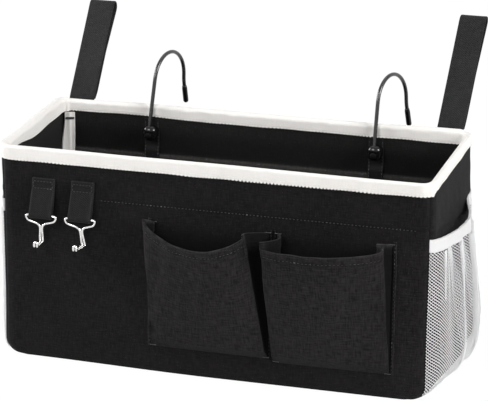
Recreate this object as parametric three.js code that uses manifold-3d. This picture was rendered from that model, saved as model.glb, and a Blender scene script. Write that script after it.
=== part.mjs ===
import * as THREE from 'three';
import { mergeVertices } from 'three/addons/utils/BufferGeometryUtils.js';
import Module from 'manifold-3d';

const wasm = await Module();
wasm.setup();

// Millimetres. X runs along the front, Y to the back, Z up; the origin is the middle of the underside.
const bodyWidth = 342;
const bodyDepth = 137;
const bodyHeight = 172;
const planRadius = 11;
const footRadius = 11.5;
const halfWidth = bodyWidth / 2;
const halfDepth = bodyDepth / 2;

// Layers of the wall, from the outside in.
const gap = 0.3;
const canvasThickness = 1;
const boardThickness = 2.5;
const liningThickness = 0.8;
const stayThickness = 1;
const boardDrop = 44;
const boardTop = bodyHeight - boardDrop;
const ledgeRise = 6;
const boardMargin = 1;
const arcSteps = 5;
const footSteps = 4;

// Tape over the rim and on the inner corner seams.
const tapeThickness = 0.9;
const bindingDrop = 11;
const bindingBottom = bodyHeight - bindingDrop;
const bindingRound = 2;
const stayDrop = 9;
const cornerTapeThickness = 1.2;
const cornerTapeWidth = 8;
const cornerTapeFoot = 2;

// Bellows pockets on the front, set out from the right-hand corner of the body.
const pocketThickness = 1;
const hemThickness = 1.8;
const hemHeight = 8;
const hemEdge = 0.01;
const pocketFootRise = 7.8;
const pocketDrop = 6.5;
const pocketPleat = 8;
const pocketReach = 25;
const pocketFootReach = 0.26;
const pocketFootShare = 1 / 12;
const gussetShare = 0.2;
const pocketColumns = 12;
const pocketMargin = 29.6;
const pocketSpacing = 5;
const rightPocketWidth = 90.4;
const leftPocketWidth = 93.7;
const pocketBottom = footRadius + pocketFootRise;
const pocketTop = boardTop - pocketDrop;
const rightPocketEnd = halfWidth - pocketMargin;
const leftPocketEnd = rightPocketEnd - rightPocketWidth - pocketSpacing;
// Leans, reaches, lifts and sags of the mouths are shares of pocketReach.
const pockets = [
  {
    name: 'left_pocket',
    from: leftPocketEnd - leftPocketWidth,
    to: leftPocketEnd,
    fromCorner: { lean: -0.16, reach: 0.48, lift: 0.22 },
    toCorner: { lean: -0.52, reach: 1, lift: 0.2 },
    midReach: 1,
    sag: 0.68,
    sagPower: 0.6,
    foot: 0.1,
  },
  {
    name: 'right_pocket',
    from: rightPocketEnd - rightPocketWidth,
    to: rightPocketEnd,
    fromCorner: { lean: -0.32, reach: 0.96, lift: 0.02 },
    toCorner: { lean: -0.14, reach: 0.68, lift: 0.22 },
    midReach: 0.96,
    sag: 0.41,
    sagPower: 0.3,
    foot: 0,
  },
];

// Gathered net pockets on the two sides, each with an elastic band.
const netThickness = 0.8;
const netBottom = 4;
const netBelly = 18;
const netBellyRise = 20;
const netPleats = 5;
const netPleatDepth = 1.6;
const netSeamSink = 2;
const netRows = [0, 0.015, 0.05, 0.11, 0.2, 0.45, 0.72, 1];
const netColumns = 6;
const bandColumns = 4;
const sideBowPower = 0.7;
const bandThickness = 1.6;
const bandHeight = 10;
const bandDrop = 1;
const bandEndTop = boardTop - bandDrop;
const bandSag = 5;
const bandReach = 12;

// Webbing straps standing behind the rim.
const strapWidth = 21.2;
const strapThickness = 1.4;
const strapInset = 18.1;
const strapRootDrop = 44;
const strapStepDrop = 4;
const strapStepMargin = 1;
const strapHingeDrop = 3.7;
const strapHingeGap = { below: 0.3, above: 0.4, behind: 0.1 };
const strapLength = 89;
const strapFoldRadius = 4.3;
const foldSteps = 8;
const strapTailStart = 16;
const strapTapeLength = 32;
const strapTapeThickness = 1;
const strapTapeMargin = 1;
const straps = [
  { side: 'left', sign: -1, lean: 42, drift: -0.023 },
  { side: 'right', sign: 1, lean: 22, drift: 0.1 },
];

// Wire hooks that hang the caddy up, with their sockets.
const hookWire = 3.1;
const hookCentre = 93;
const hookShift = 1.25;
const hookInset = 10.7;
const hookFootDrop = 15.5;
const hookInsert = 3.6;
const hookShank = 36.3;
const hookRadius = 22;
const hookTipLength = 19.6;
const hookTipFlare = 23;
const hookTipGap = 0.18;
const hookTipDiameter = 4.35;
const hookTipCover = 11;
const hookTipRound = 0.8;
const hookTipNose = 0.6;
const hookSteps = 40;
const hookSides = 10;
const sleeveSides = 12;
const socketWidth = 12;
const socketHeight = 12.5;
const socketInset = 14.2;
const socketRound = 3;
const socketBoreGap = 0.3;
const boreSides = 16;
const rivetHead = 5;
const rivetDome = 1.6;
const rivetShank = 2.4;
const rivetDrop = 7.5;
const rivetSides = 14;
const rivetProfile = [[1, 0], [0.9, 0.5], [0.54, 0.88], [0, 1]];
const hookBandWidth = 12.4;
const hookBandThickness = 1;
const hookBandDrop = 77;
const hookBandMargin = 1;
const hookBandStep = 3;
const hooks = [
  { side: 'left', sign: -1, yaw: 75.5, lean: 14, roll: 0.4 },
  { side: 'right', sign: 1, yaw: 72, lean: 14, roll: 4.1 },
];

// Webbing tabs and the bright wire hooks in their loops.
const tabWidth = 18.4;
const tabThickness = 1.2;
const tabDrop = 23.8;
const tabSewn = 7.5;
const tabLength = 28.4;
const keyWire = 1.9;
const keyWireGap = 0.4;
const keyBarReach = 7;
const keyBarHalf = 10.6;
const keyEndRadius = 1.8;
const keyNeckDrop = 6.4;
const keyNeckEase = 2.4;
const keyShankDrop = 20.8;
const keyCurl = 6.25;
const keyCurlDrop = 2.6;
const keyTipRise = 2.4;
const keySteps = 84;
const keySides = 7;
const keyTabInset = 35.4;
const keyTabSpacing = 31.8;
const keyTabs = [
  { side: 'left', centre: keyTabInset - halfWidth, lean: 0 },
  { side: 'right', centre: keyTabInset + keyTabSpacing - halfWidth, lean: 0.15 },
];

// Faces of the wall layers, as insets from the outer face of the body.
const wallTop = bodyHeight - tapeThickness - gap;
const boardInset = canvasThickness + gap;
const liningFar = boardInset + boardThickness + gap;
const liningNear = boardInset + stayThickness + gap;
const innerFar = liningFar + liningThickness;
const innerNear = liningNear + liningThickness;
const bindingOut = -gap - tapeThickness;
const bindingIn = innerNear + gap + tapeThickness;
const arcMiddle = 1 - Math.SQRT1_2;

const materials = {
  canvas: new THREE.MeshStandardMaterial({ color: 0x1d1c1e, roughness: 0.92, metalness: 0 }),
  lining: new THREE.MeshStandardMaterial({ color: 0x161617, roughness: 0.95, metalness: 0 }),
  board: new THREE.MeshStandardMaterial({ color: 0x8a7a63, roughness: 0.9, metalness: 0 }),
  stay: new THREE.MeshStandardMaterial({ color: 0x3a3a3a, roughness: 0.5, metalness: 0 }),
  tape: new THREE.MeshStandardMaterial({ color: 0xe9e5dc, roughness: 0.85, metalness: 0 }),
  net: new THREE.MeshStandardMaterial({ color: 0xd9d8d6, roughness: 0.8, metalness: 0 }),
  elastic: new THREE.MeshStandardMaterial({ color: 0xe6e3dd, roughness: 0.85, metalness: 0 }),
  webbing: new THREE.MeshStandardMaterial({ color: 0x141416, roughness: 0.75, metalness: 0 }),
  fastener: new THREE.MeshStandardMaterial({ color: 0x111113, roughness: 0.95, metalness: 0 }),
  enamel: new THREE.MeshStandardMaterial({ color: 0x0d0d0e, roughness: 0.25, metalness: 0.3 }),
  plastic: new THREE.MeshStandardMaterial({ color: 0x0f0f10, roughness: 0.35, metalness: 0 }),
  chrome: new THREE.MeshStandardMaterial({ color: 0xd8dadd, roughness: 0.12, metalness: 1 }),
};

const caddy = new THREE.Group();
caddy.name = 'bedside_caddy';

function degrees(angle) {
  return (angle * Math.PI) / 180;
}

function addPart(name, geometry, material) {
  const mesh = new THREE.Mesh(geometry, material);
  mesh.name = name;
  caddy.add(mesh);
}

function toSolid(geometry) {
  const bare = geometry.clone();
  bare.deleteAttribute('normal');
  bare.deleteAttribute('uv');
  const merged = mergeVertices(bare, 1e-4);
  return new wasm.Manifold(
    new wasm.Mesh({
      numProp: 3,
      vertProperties: new Float32Array(merged.attributes.position.array),
      triVerts: new Uint32Array(merged.index.array),
    }),
  );
}

function toGeometry(solid) {
  const mesh = solid.getMesh();
  return meshGeometry(Array.from(mesh.vertProperties), Array.from(mesh.triVerts));
}

function meshGeometry(positions, triangles) {
  const geometry = new THREE.BufferGeometry();
  geometry.setAttribute('position', new THREE.Float32BufferAttribute(positions, 3));
  geometry.setIndex(triangles);
  geometry.computeVertexNormals();
  return geometry;
}

function block(x0, x1, y0, y1, z0, z1) {
  const geometry = new THREE.BoxGeometry(x1 - x0, y1 - y0, z1 - z0);
  geometry.translate((x0 + x1) / 2, (y0 + y1) / 2, (z0 + z1) / 2);
  return geometry;
}

// How far the rounded lower corner draws a face of the given inset in at a height.
function footDrop(inset, height) {
  const radius = footRadius - inset;
  const below = Math.max(0, radius - (height - inset));
  return radius - Math.sqrt(Math.max(0, radius * radius - below * below));
}

// Heights of the rings that make the rounded lower corners of a face.
function footHeights(inset) {
  const heights = [];
  for (let step = 0; step <= footSteps; step += 1) {
    heights.push(inset + (footRadius - inset) * (1 - Math.cos(((step / footSteps) * Math.PI) / 2)));
  }
  return heights;
}

// Rounded rectangle of the body in plan.
function planRing(inset, height) {
  const radius = planRadius - inset;
  const centreX = halfWidth - inset - footDrop(inset, height) - radius;
  const centreY = halfDepth - inset - radius;
  const points = [];
  for (let corner = 0; corner < 4; corner += 1) {
    const signX = corner === 0 || corner === 3 ? 1 : -1;
    const signY = corner < 2 ? 1 : -1;
    for (let step = 0; step <= arcSteps; step += 1) {
      const angle = ((corner + step / arcSteps) * Math.PI) / 2;
      const x = signX * centreX + radius * Math.cos(angle);
      const y = signY * centreY + radius * Math.sin(angle);
      points.push([x, y, height]);
    }
  }
  return points;
}

// Skin through a row of rings; the ends are capped, or joined when the row closes on itself.
function ringSolid(rings, closed) {
  const count = rings[0].length;
  const triangles = [];
  const last = closed ? rings.length : rings.length - 1;
  for (let row = 0; row < last; row += 1) {
    const here = row * count;
    const next = ((row + 1) % rings.length) * count;
    for (let point = 0; point < count; point += 1) {
      const beside = (point + 1) % count;
      triangles.push(here + point, here + beside, next + beside);
      triangles.push(here + point, next + beside, next + point);
    }
  }
  if (!closed) {
    const top = (rings.length - 1) * count;
    for (let point = 1; point < count - 1; point += 1) {
      triangles.push(0, point + 1, point);
      triangles.push(top, top + point, top + point + 1);
    }
  }
  return meshGeometry(rings.flat(2), triangles);
}

// Sheet with a thickness over a two-way grid of points; its outer face is the given surface.
function sheetSolid(surface, thickness, across, up) {
  const tiny = 1e-3;
  const at = (u, v) => new THREE.Vector3(...surface(u, v));
  const outer = [];
  const inner = [];
  for (const v of up) {
    for (const u of across) {
      const here = at(u, v);
      const low = Math.max(0, v - tiny);
      const left = Math.max(0, u - tiny);
      const alongU = at(Math.min(1, u + tiny), v).sub(at(left, v));
      const alongV = at(u, Math.min(1, v + tiny)).sub(at(u, low));
      const normal = alongU.cross(alongV).normalize();
      outer.push(here.x, here.y, here.z);
      const back = here.addScaledVector(normal, -thickness(v));
      inner.push(back.x, back.y, back.z);
    }
  }
  const columns = across.length;
  const rows = up.length;
  const shift = columns * rows;
  const triangles = [];
  const quad = (a, b, c, d) => triangles.push(a, b, c, a, c, d);
  for (let row = 0; row < rows - 1; row += 1) {
    for (let column = 0; column < columns - 1; column += 1) {
      const a = row * columns + column;
      const d = a + columns;
      quad(a, a + 1, d + 1, d);
      quad(shift + a, shift + d, shift + d + 1, shift + a + 1);
    }
  }
  for (let column = 0; column < columns - 1; column += 1) {
    const top = (rows - 1) * columns + column;
    quad(column, shift + column, shift + column + 1, column + 1);
    quad(top, top + 1, shift + top + 1, shift + top);
  }
  for (let row = 0; row < rows - 1; row += 1) {
    const first = row * columns;
    const end = first + columns - 1;
    quad(first, first + columns, shift + first + columns, shift + first);
    quad(end, shift + end, shift + end + columns, end + columns);
  }
  return meshGeometry(outer.concat(inner), triangles);
}

function evenly(count) {
  return Array.from({ length: count + 1 }, (item, index) => index / count);
}

function arcPoints(centre, radius, from, to, steps) {
  return evenly(steps).map((part) => {
    const angle = from + (to - from) * part;
    return [centre[0] + radius * Math.cos(angle), centre[1] + radius * Math.sin(angle)];
  });
}

// Flat strap: a path in the YZ plane given a thickness, drawn out along X.
function ribbon(path, thickness, centreX, width) {
  const points = path.map((point) => new THREE.Vector2(point[0], point[1]));
  const sideways = points.map((point, index) => {
    const before = points[Math.max(0, index - 1)];
    const after = points[Math.min(points.length - 1, index + 1)];
    const into = point.clone().sub(before).normalize();
    const out = after.clone().sub(point).normalize();
    const along = into.clone().add(out).normalize();
    const edge = into.lengthSq() > 0 ? into : out;
    const stretch = 1 / along.dot(edge);
    return new THREE.Vector2(-along.y, along.x).multiplyScalar((stretch * thickness) / 2);
  });
  const outline = points.map((point, index) => point.clone().add(sideways[index]));
  const back = points.map((point, index) => point.clone().sub(sideways[index])).reverse();
  const shape = new THREE.Shape(outline.concat(back));
  const geometry = new THREE.ExtrudeGeometry(shape, { depth: width, bevelEnabled: false });
  geometry.translate(0, 0, centreX - width / 2);
  const turn = new THREE.Matrix4().makeBasis(
    new THREE.Vector3(0, 1, 0),
    new THREE.Vector3(0, 0, 1),
    new THREE.Vector3(1, 0, 0),
  );
  return geometry.applyMatrix4(turn);
}

// Round wire along a smooth path.
function wire(points, diameter, steps, sides) {
  const corners = evenly(sides).slice(0, sides).map((part) => {
    const angle = part * 2 * Math.PI;
    return new THREE.Vector2((diameter / 2) * Math.cos(angle), (diameter / 2) * Math.sin(angle));
  });
  const path = new THREE.CatmullRomCurve3(points, false, 'centripetal');
  return new THREE.ExtrudeGeometry(new THREE.Shape(corners), {
    steps,
    extrudePath: path,
    bevelEnabled: false,
  });
}

// A cup of cloth: outer face up, inner face down, cut at the two seams into front, gusset and back.
function addCup(names, outerFace, innerFace, seamInset, material) {
  const rings = outerFace.concat(innerFace.slice().reverse()).map((face) => planRing(face[0], face[1]));
  const cup = toSolid(ringSolid(rings, false));
  const seam = halfDepth - seamInset;
  const cuts = [
    [-bodyDepth, -seam - gap / 2],
    [-seam + gap / 2, seam - gap / 2],
    [seam + gap / 2, bodyDepth],
  ];
  cuts.forEach((cut, index) => {
    const slab = toSolid(block(-bodyWidth, bodyWidth, cut[0], cut[1], -bodyHeight, 2 * bodyHeight));
    addPart(names[index], toGeometry(cup.intersect(slab)), material);
  });
}

function footFace(inset) {
  return footHeights(inset).map((height) => [inset, height]);
}

// Canvas outside, lining inside; the lining steps in over the top edge of the boards.
addCup(
  ['front_panel', 'gusset', 'back_panel'],
  [...footFace(0), [0, wallTop]],
  [...footFace(canvasThickness), [canvasThickness, wallTop]],
  planRadius * arcMiddle,
  materials.canvas,
);
addCup(
  ['front_lining', 'gusset_lining', 'back_lining'],
  [...footFace(liningFar), [liningFar, boardTop], [liningNear, boardTop + ledgeRise], [liningNear, wallTop]],
  [...footFace(innerFar), [innerFar, boardTop], [innerNear, boardTop + ledgeRise], [innerNear, wallTop]],
  liningFar + (planRadius - liningFar) * arcMiddle,
  materials.lining,
);

// Plate with a rounded outline, square to Z; the last two corners stay sharp unless both pairs are round.
function plate(half, low, high, round, allRound, from, thickness) {
  const shape = new THREE.Shape();
  const topRound = allRound ? round : 0;
  shape.absarc(half - round, low + round, round, 1.5 * Math.PI, 2 * Math.PI, false);
  shape.absarc(half - topRound, high - topRound, topRound, 0, 0.5 * Math.PI, false);
  shape.absarc(-half + topRound, high - topRound, topRound, 0.5 * Math.PI, Math.PI, false);
  shape.absarc(-half + round, low + round, round, Math.PI, 1.5 * Math.PI, false);
  const geometry = new THREE.ExtrudeGeometry(shape, {
    depth: thickness,
    bevelEnabled: false,
    curveSegments: arcSteps,
  });
  return geometry.translate(0, 0, from);
}

// Boards stand between canvas and lining up to the ledge.
const boardHalf = halfWidth - planRadius - boardMargin;
const boardFace = halfDepth - boardInset;
const boardLip = boardTop - gap;
for (const [name, from] of [
  ['front_board', boardFace - boardThickness],
  ['back_board', -boardFace],
]) {
  const board = plate(boardHalf, boardInset, boardLip, footRadius, false, from, boardThickness);
  addPart(name, board.rotateX(Math.PI / 2), materials.board);
}
const sideBoardHalf = halfDepth - planRadius - boardMargin;
const sideBoardFoot = footRadius + boardMargin;
for (const [name, from] of [
  ['left_board', boardInset - halfWidth],
  ['right_board', halfWidth - boardInset - boardThickness],
]) {
  const to = from + boardThickness;
  const board = block(from, to, -sideBoardHalf, sideBoardHalf, sideBoardFoot, boardLip);
  addPart(name, board, materials.board);
}
const baseBoardHalf = halfWidth - footRadius - boardMargin;
const baseBoardDepth = boardFace - boardThickness - 2 * gap;
addPart(
  'base_board',
  plate(baseBoardHalf, -baseBoardDepth, baseBoardDepth, planRadius, true, boardInset, boardThickness),
  materials.board,
);

// A stay strip stiffens the rim between canvas and lining; the tape folds over all three.
const stayFaces = [
  [boardInset, wallTop - stayDrop],
  [boardInset, wallTop - gap],
  [boardInset + stayThickness, wallTop - gap],
  [boardInset + stayThickness, wallTop - stayDrop],
];
addPart('rim_stay', ringSolid(stayFaces.map((face) => planRing(...face)), true), materials.stay);
const bindingSlot = wallTop + gap;
const bindingFaces = [
  [bindingOut, bindingBottom],
  [bindingOut, bodyHeight - bindingRound],
  [bindingOut + bindingRound * arcMiddle, bodyHeight - bindingRound * arcMiddle],
  [bindingOut + bindingRound, bodyHeight],
  [bindingIn - bindingRound, bodyHeight],
  [bindingIn - bindingRound * arcMiddle, bodyHeight - bindingRound * arcMiddle],
  [bindingIn, bodyHeight - bindingRound],
  [bindingIn, bindingBottom],
  [bindingIn - tapeThickness, bindingBottom],
  [bindingIn - tapeThickness, bindingSlot],
  [bindingOut + tapeThickness, bindingSlot],
  [bindingOut + tapeThickness, bindingBottom],
];
addPart('rim_binding', ringSolid(bindingFaces.map((face) => planRing(...face)), true), materials.tape);

// Tape on the four inner corner seams, bent to the corner.
const cornerTapeOuter = planRadius - innerFar - gap;
const cornerTapeInner = cornerTapeOuter - cornerTapeThickness;
const cornerTapeHalf = cornerTapeWidth / (cornerTapeOuter + cornerTapeInner);
for (const [name, signX, signY, quarter] of [
  ['front_left_corner_tape', -1, -1, 2.5],
  ['front_right_corner_tape', 1, -1, 3.5],
  ['back_left_corner_tape', -1, 1, 1.5],
  ['back_right_corner_tape', 1, 1, 0.5],
]) {
  const middle = (quarter * Math.PI) / 2;
  const shape = new THREE.Shape();
  shape.absarc(0, 0, cornerTapeOuter, middle - cornerTapeHalf, middle + cornerTapeHalf, false);
  shape.absarc(0, 0, cornerTapeInner, middle + cornerTapeHalf, middle - cornerTapeHalf, true);
  const foot = footRadius + cornerTapeFoot;
  const geometry = new THREE.ExtrudeGeometry(shape, {
    depth: bindingBottom - gap - foot,
    bevelEnabled: false,
    curveSegments: arcSteps,
  });
  geometry.translate(signX * (halfWidth - planRadius), signY * (halfDepth - planRadius), foot);
  addPart(name, geometry, materials.tape);
}

// Bellows pocket: a folding side, the sagging front panel and the other folding side.
function pocketSurface(pocket) {
  const { from, to, fromCorner, toCorner, midReach, sag, sagPower, foot } = pocket;
  return (u, v) => {
    const opening = pocketFootReach * Math.min(1, v / pocketFootShare) + (1 - pocketFootReach) * v;
    const panel = Math.min(1, Math.max(0, (u - gussetShare) / (1 - 2 * gussetShare)));
    const arch = Math.sin(Math.PI * panel);
    const cornerReach = fromCorner.reach + (toCorner.reach - fromCorner.reach) * panel;
    const evenReach = (fromCorner.reach + toCorner.reach) / 2;
    const reach = pocketReach * (cornerReach + (midReach - evenReach) * arch) * opening;
    const lean = pocketReach * (fromCorner.lean + (toCorner.lean - fromCorner.lean) * panel) * v;
    const lift = fromCorner.lift + (toCorner.lift - fromCorner.lift) * panel;
    const edge = Math.min(1, u / gussetShare, (1 - u) / gussetShare);
    const inward = pocketPleat * Math.sin(Math.PI * edge) * v * (u < 0.5 ? 1 : -1);
    const x = from + (to - from) * panel + lean * edge + inward;
    const y = -halfDepth - reach * edge;
    const top = pocketTop + pocketReach * (lift * edge - sag * Math.max(0, arch) ** sagPower);
    const bottom = pocketBottom + pocketReach * foot;
    return [x, y, bottom + (top - bottom) * v];
  };
}

const frontSpace = toSolid(
  block(-bodyWidth, bodyWidth, -bodyDepth, -halfDepth - gap, -bodyHeight, 2 * bodyHeight),
);
const pocketAcross = [0, 0.5, 1]
  .map((part) => part * gussetShare)
  .concat(evenly(pocketColumns).slice(1).map((part) => gussetShare + part * (1 - 2 * gussetShare)))
  .concat([0.5, 1].map((part) => 1 - gussetShare + part * gussetShare));
const hemShare = hemHeight / (pocketTop - pocketBottom);
const hemFoot = 1 - hemShare;
const pocketUp = [0, pocketFootShare / 2, pocketFootShare, 0.25, 0.5, 0.75, hemFoot - hemEdge, hemFoot, 1];
for (const pocket of pockets) {
  const thickness = (v) => (v > hemFoot - hemEdge / 2 ? hemThickness : pocketThickness);
  const sheet = sheetSolid(pocketSurface(pocket), thickness, pocketAcross, pocketUp);
  addPart(pocket.name, toGeometry(toSolid(sheet).intersect(frontSpace)), materials.canvas);
}

// Way around one side of the body, from the front corner seam to the back one.
function sideWay(part, height) {
  const corner = (planRadius * Math.PI) / 4;
  const flat = bodyDepth - 2 * planRadius;
  const along = part * (flat + 2 * corner);
  const centreX = halfWidth - planRadius - footDrop(0, height);
  let angle = 0;
  let centreY = along - corner - flat / 2;
  if (along < corner) {
    angle = (along - corner) / planRadius;
    centreY = -flat / 2;
  } else if (along > corner + flat) {
    angle = (along - corner - flat) / planRadius;
    centreY = flat / 2;
  }
  const normal = [Math.cos(angle), Math.sin(angle)];
  return { x: centreX + planRadius * normal[0], y: centreY + planRadius * normal[1], normal };
}

// Net and band stand off the side by a bulge that fades at the seams, where they sink into the body.
function standOff(part, height, reach) {
  const way = sideWay(part, height);
  const bulge = sideBow(part) * (reach + netSeamSink) - netSeamSink;
  return [way.x + way.normal[0] * bulge, way.y + way.normal[1] * bulge, height];
}

function sideBow(part) {
  return Math.sin(Math.PI * part) ** sideBowPower;
}

function bandTop(part) {
  return bandEndTop - bandSag * Math.sin(Math.PI * part);
}

function netSurface(part, v) {
  const top = bandTop(part) - bandHeight - gap;
  const height = netBottom + (top - netBottom) * v;
  const rise = Math.min(1, (height - netBottom) / netBellyRise);
  const belly = netBelly * Math.sqrt(rise * (2 - rise)) - (netBelly - bandReach) * v * v;
  const pleat = netPleatDepth * Math.cos(2 * Math.PI * netPleats * part) * rise;
  return standOff(part, height, belly - pleat);
}

function bandSurface(part, v) {
  const height = bandTop(part) - bandHeight * (1 - v);
  const pleat = netPleatDepth * Math.cos(2 * Math.PI * netPleats * part) * (1 - v);
  return standOff(part, height, bandReach - pleat);
}

const bodySpace = toSolid(
  ringSolid(
    [...footFace(-gap), [-gap, bodyHeight]].map((face) => planRing(face[0], face[1])),
    false,
  ),
);
for (const [side, sign] of [
  ['left', -1],
  ['right', 1],
]) {
  const mirror = (surface) => (u, v) => {
    const [x, y, z] = surface(sign > 0 ? u : 1 - u, v);
    return [sign * x, y, z];
  };
  const net = sheetSolid(mirror(netSurface), () => netThickness, evenly(netColumns * netPleats), netRows);
  const bandSteps = evenly(bandColumns * netPleats);
  const band = sheetSolid(mirror(bandSurface), () => bandThickness, bandSteps, evenly(2));
  addPart(`${side}_mesh_pocket`, toGeometry(toSolid(net).subtract(bodySpace)), materials.net);
  addPart(`${side}_mesh_band`, toGeometry(toSolid(band).subtract(bodySpace)), materials.elastic);
}

// Straps: a root sewn to the back, and a standing loop whose tail returns over hook and loop tape.
const strapHinge = bodyHeight - strapHingeDrop;
const strapRootFace = halfDepth + gap + strapThickness / 2;
const strapHingeFace = halfDepth - bindingOut + gap + strapThickness / 2;
const strapAxisShift = strapThickness / 2 + strapHingeGap.behind;
const tapeStack = strapThickness + 2 * strapTapeThickness + 3 * gap;
for (const strap of straps) {
  const centre = strap.sign * (halfWidth - strapInset);
  const rootPath = [
    [strapRootFace, bodyHeight - strapRootDrop],
    [strapRootFace, bindingBottom - strapStepDrop],
    [strapHingeFace, bindingBottom - gap - strapStepMargin],
    [strapHingeFace, strapHinge - strapHingeGap.below],
  ];
  const root = ribbon(rootPath, strapThickness, centre, strapWidth);
  addPart(`${strap.side}_strap_root`, root, materials.webbing);
  const sine = Math.sin(degrees(strap.lean));
  const cosine = Math.cos(degrees(strap.lean));
  // Points are given along the strap from its hinge, which lies just behind the webbing, and through it.
  const place = (point) => [
    strapHingeFace + strapAxisShift + point[0] * sine + (point[1] - strapAxisShift) * cosine,
    strapHinge + point[0] * cosine - (point[1] - strapAxisShift) * sine,
  ];
  // The strap drifts sideways in proportion to the way along it from the hinge.
  const drift = (geometry) => {
    const shear = new THREE.Matrix4().set(
      1, strap.drift * sine, strap.drift * cosine,
      -strap.drift * (sine * strapHingeFace + cosine * strapHinge),
      0, 1, 0, 0,
      0, 0, 1, 0,
      0, 0, 0, 1,
    );
    return geometry.applyMatrix4(shear);
  };
  const loopPath = [
    [strapHingeGap.above, 0],
    ...arcPoints([strapLength, strapFoldRadius], strapFoldRadius, -Math.PI / 2, Math.PI / 2, foldSteps),
    [strapTailStart + strapTapeLength, tapeStack],
    [strapTailStart, tapeStack],
  ].map(place);
  const loop = ribbon(loopPath, strapThickness, centre, strapWidth);
  addPart(`${strap.side}_strap`, drift(loop), materials.webbing);
  const tapeOffsets = {
    loop_tape: strapThickness / 2 + gap + strapTapeThickness / 2,
    hook_tape: tapeStack - strapThickness / 2 - gap - strapTapeThickness / 2,
  };
  for (const [name, offset] of Object.entries(tapeOffsets)) {
    const tapePath = [
      [strapTailStart, offset],
      [strapTailStart + strapTapeLength, offset],
    ].map(place);
    const tape = ribbon(tapePath, strapTapeThickness, centre, strapWidth - 2 * strapTapeMargin);
    addPart(`${strap.side}_${name}`, drift(tape), materials.fastener);
  }
}

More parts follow.
